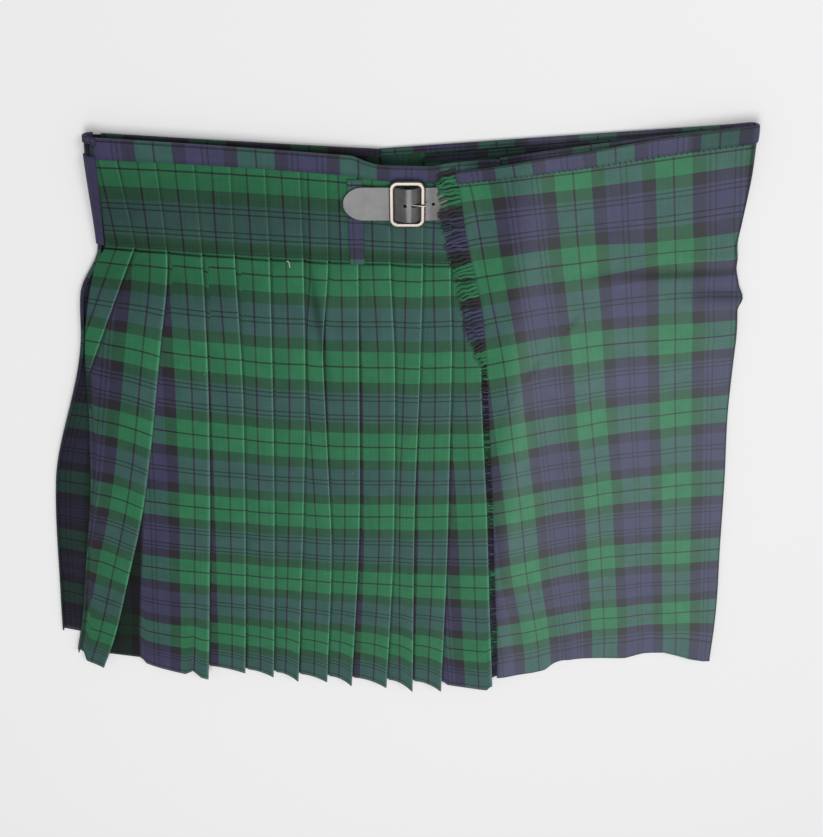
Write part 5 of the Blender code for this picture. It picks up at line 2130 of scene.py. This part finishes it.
@dataclass
class Sewing:
    """The stitches that show, and the few loose threads on the cloth."""

    length: float = 2.1
    pitch: float = 3.3
    seed: int = 3

    def fell(self, thread: bpy.types.Material) -> bpy.types.Object:
        """The line of stitches where the pleats come free.

        Args:
            thread: its material.

        Returns:
            The finished piece.
        """
        shape = bmesh.new()
        x = UPPER_ROWS[2].edge_x + 4.0
        while x < 50.0:
            y = through_three(x, UPPER_X, UPPER_ROWS[2][3:6])
            y_end = through_three(x + self.length, UPPER_X, UPPER_ROWS[2][3:6])
            z = upper_base(0.0) + STACK - 0.05
            tube(shape, stitch((x, y, z), (x + self.length, y_end, z), 0.18), 0.24, 4, taper=1.0)
            x += self.pitch
        item = strands_object("stitches_fell", shape)
        return finish_piece(item, thread)

    def band(self, over: OverApron, thread: bpy.types.Material) -> bpy.types.Object:
        """The slanted hand stitches along the lower edge of the outer apron's waistband.

        Args:
            over: the outer apron.
            thread: the stitches' material.

        Returns:
            The finished piece.
        """
        shape = bmesh.new()
        points = over.section(BAND_LOW)[0][: over.across]
        length = arc_lengths(points)
        for at in np.arange(3.0, length[-1] - 2.0, 4.6):
            x, y, z = (float(np.interp(at, length, points[:, k])) for k in range(3))
            ends = (x - 1.0, y + 1.4, z + STEP_OFF + 0.35), (x + 0.8, y - 1.2, z + 0.5)
            tube(shape, stitch(*ends, 0.5), 0.22, 4, taper=1.0)
        item = strands_object("stitches_waistband", shape)
        return finish_piece(item, thread)

    def loose(self, white: bpy.types.Material) -> bpy.types.Object:
        """A bit of white thread and a few specks of lint on the pleats.

        Args:
            white: their material.

        Returns:
            The finished piece.
        """
        shape = bmesh.new()
        x, y = -109.8, 168.3
        curl = [(-2.2, 2.4), (-0.8, 3.0), (0.4, 1.2), (0.2, -1.4), (0.9, -3.4)]
        route = [(x + dx, y + dy, upper_base(0.0) + STACK + 0.55) for dx, dy in curl]
        tube(shape, np.array(route), 0.34, 5, taper=0.9)
        chance = np.random.default_rng(self.seed)
        spots = [(-196.7, 55.0), (-60.0, -60.0), (-20.0, -338.0), (-96.0, -340.0), (20.0, -330.0)]
        for px, py in spots:
            end = chance.uniform(-0.9, 0.9, 2)
            z = upper_base(0.0) + STACK + 0.5
            tube(shape, stitch((px, py, z), (px + end[0], py + end[1], z), 0.2), 0.3, 4, taper=0.8)
        item = strands_object("loose_threads", shape)
        return finish_piece(item, white)


@dataclass
class Studio:
    """The photograph's camera, a pale floor and soft light."""

    eye: tuple[float, float, float] = (0.0, 560.1, 896.4)
    tilt: float = -32.0
    focal_px: float = 1072.0
    frame_px: tuple[int, int] = (823, 837)
    floor_size: float = 8.0
    world: float = 0.39
    lamps: tuple[tuple[str, tuple[float, float, float], float, float], ...] = (
        ("key", (1.6, 1.5, 2.4), 1.2, 29.0),
        ("front", (-0.2, -0.75, 3.1), 1.9, 47.0),
    )

    def camera(self) -> bpy.types.Object:
        """The camera at the photograph's place and angle.

        Returns:
            The camera.
        """
        data = bpy.data.cameras.new("photo_camera")
        data.sensor_width = 36.0
        data.lens = self.focal_px * data.sensor_width / max(self.frame_px)
        data.clip_start = 0.01
        data.dof.use_dof = False
        item = new_object("photo_camera", data)
        item.location = place(np.array(self.eye))
        item.rotation_euler = (math.radians(self.tilt), 0.0, 0.0)
        bpy.context.scene.camera = item
        return item

    def floor(self) -> bpy.types.Object:
        """The plain pale floor, just under the skirt.

        Returns:
            The floor.
        """
        bpy.ops.object.select_all(action="DESELECT")
        bpy.ops.mesh.primitive_plane_add(size=self.floor_size, location=(0.0, 0.0, -0.0004))
        item = bpy.context.object
        item.name = "floor"
        finish = PlainFinish("pale_floor", (0.87, 0.87, 0.87, 1.0), 0.95, uneven=0.0, scale=2.0)
        item.data.materials.append(finish.material())
        return item

    def lamp(self, name: str, at: Vector, size: float, power: float) -> None:
        """One soft box that faces the skirt's middle.

        Args:
            name: its name.
            at: where it stands, in metres.
            size: its side in metres.
            power: its power in watts.
        """
        data = bpy.data.lights.new(name, "AREA")
        data.shape = "SQUARE"
        data.size = size
        data.energy = power
        item = new_object(name, data)
        item.location = at
        item.rotation_euler = (-at).to_track_quat("-Z", "Y").to_euler()

    def light(self) -> None:
        """Soft light from the waist's right and from above the hem, in a pale room."""
        world = bpy.data.worlds.new("studio")
        world.use_nodes = True
        world.node_tree.nodes["Background"].inputs[0].default_value = (1.0, 1.0, 1.0, 1.0)
        world.node_tree.nodes["Background"].inputs[1].default_value = self.world
        bpy.context.scene.world = world
        for name, at, size, power in self.lamps:
            self.lamp(name, Vector(at), size, power)
        bpy.context.scene.view_settings.view_transform = "Standard"


def main() -> None:
    """Build the skirt's pieces in order, then the camera, floor and light."""
    logging.basicConfig(level=logging.INFO, format="%(message)s")
    studio = Studio()
    studio.camera()
    tartan = Tartan().material()
    binding = Tartan("waistband_cloth", twill=0.75, sheen=0.12).material()
    yarn = Tartan("fringe_yarn", roughness=0.92, sheen=0.3).material()
    leather = Leather().material()
    steel = PlainFinish("polished_steel", (0.27, 0.238, 0.208, 1.0), 0.24, 1.0, uneven=0.02, rim=0.46)
    bright = PlainFinish("worn_steel", (0.62, 0.56, 0.50, 1.0), 0.4, 1.0, uneven=0.02).material()
    thread = PlainFinish("dark_thread", (0.018, 0.018, 0.026, 1.0), 0.8).material()
    white = PlainFinish("white_lint", (0.72, 0.72, 0.68, 1.0), 0.9).material()

    over, inner, fringe, loops, sewing = OverApron(), InnerApron(), Fringe(), BeltLoops(), Sewing()
    made = [
        UpperPleats().build(tartan),
        LowerPleats().build(tartan),
        over.build(tartan),
        inner.build(tartan),
        *[band.build(binding) for band in waistbands(over, inner)],
        loops.hip(binding),
        loops.side(binding),
        fringe.upper(yarn),
        fringe.lower(yarn),
        HipStrap().build(leather),
        Buckle().frame(steel.material()),
        Buckle().prong(bright),
        Buckle().tab(leather),
        sewing.fell(thread),
        sewing.band(over, thread),
        sewing.loose(white),
    ]
    studio.floor()
    studio.light()


if __name__ == "__main__":
    main()
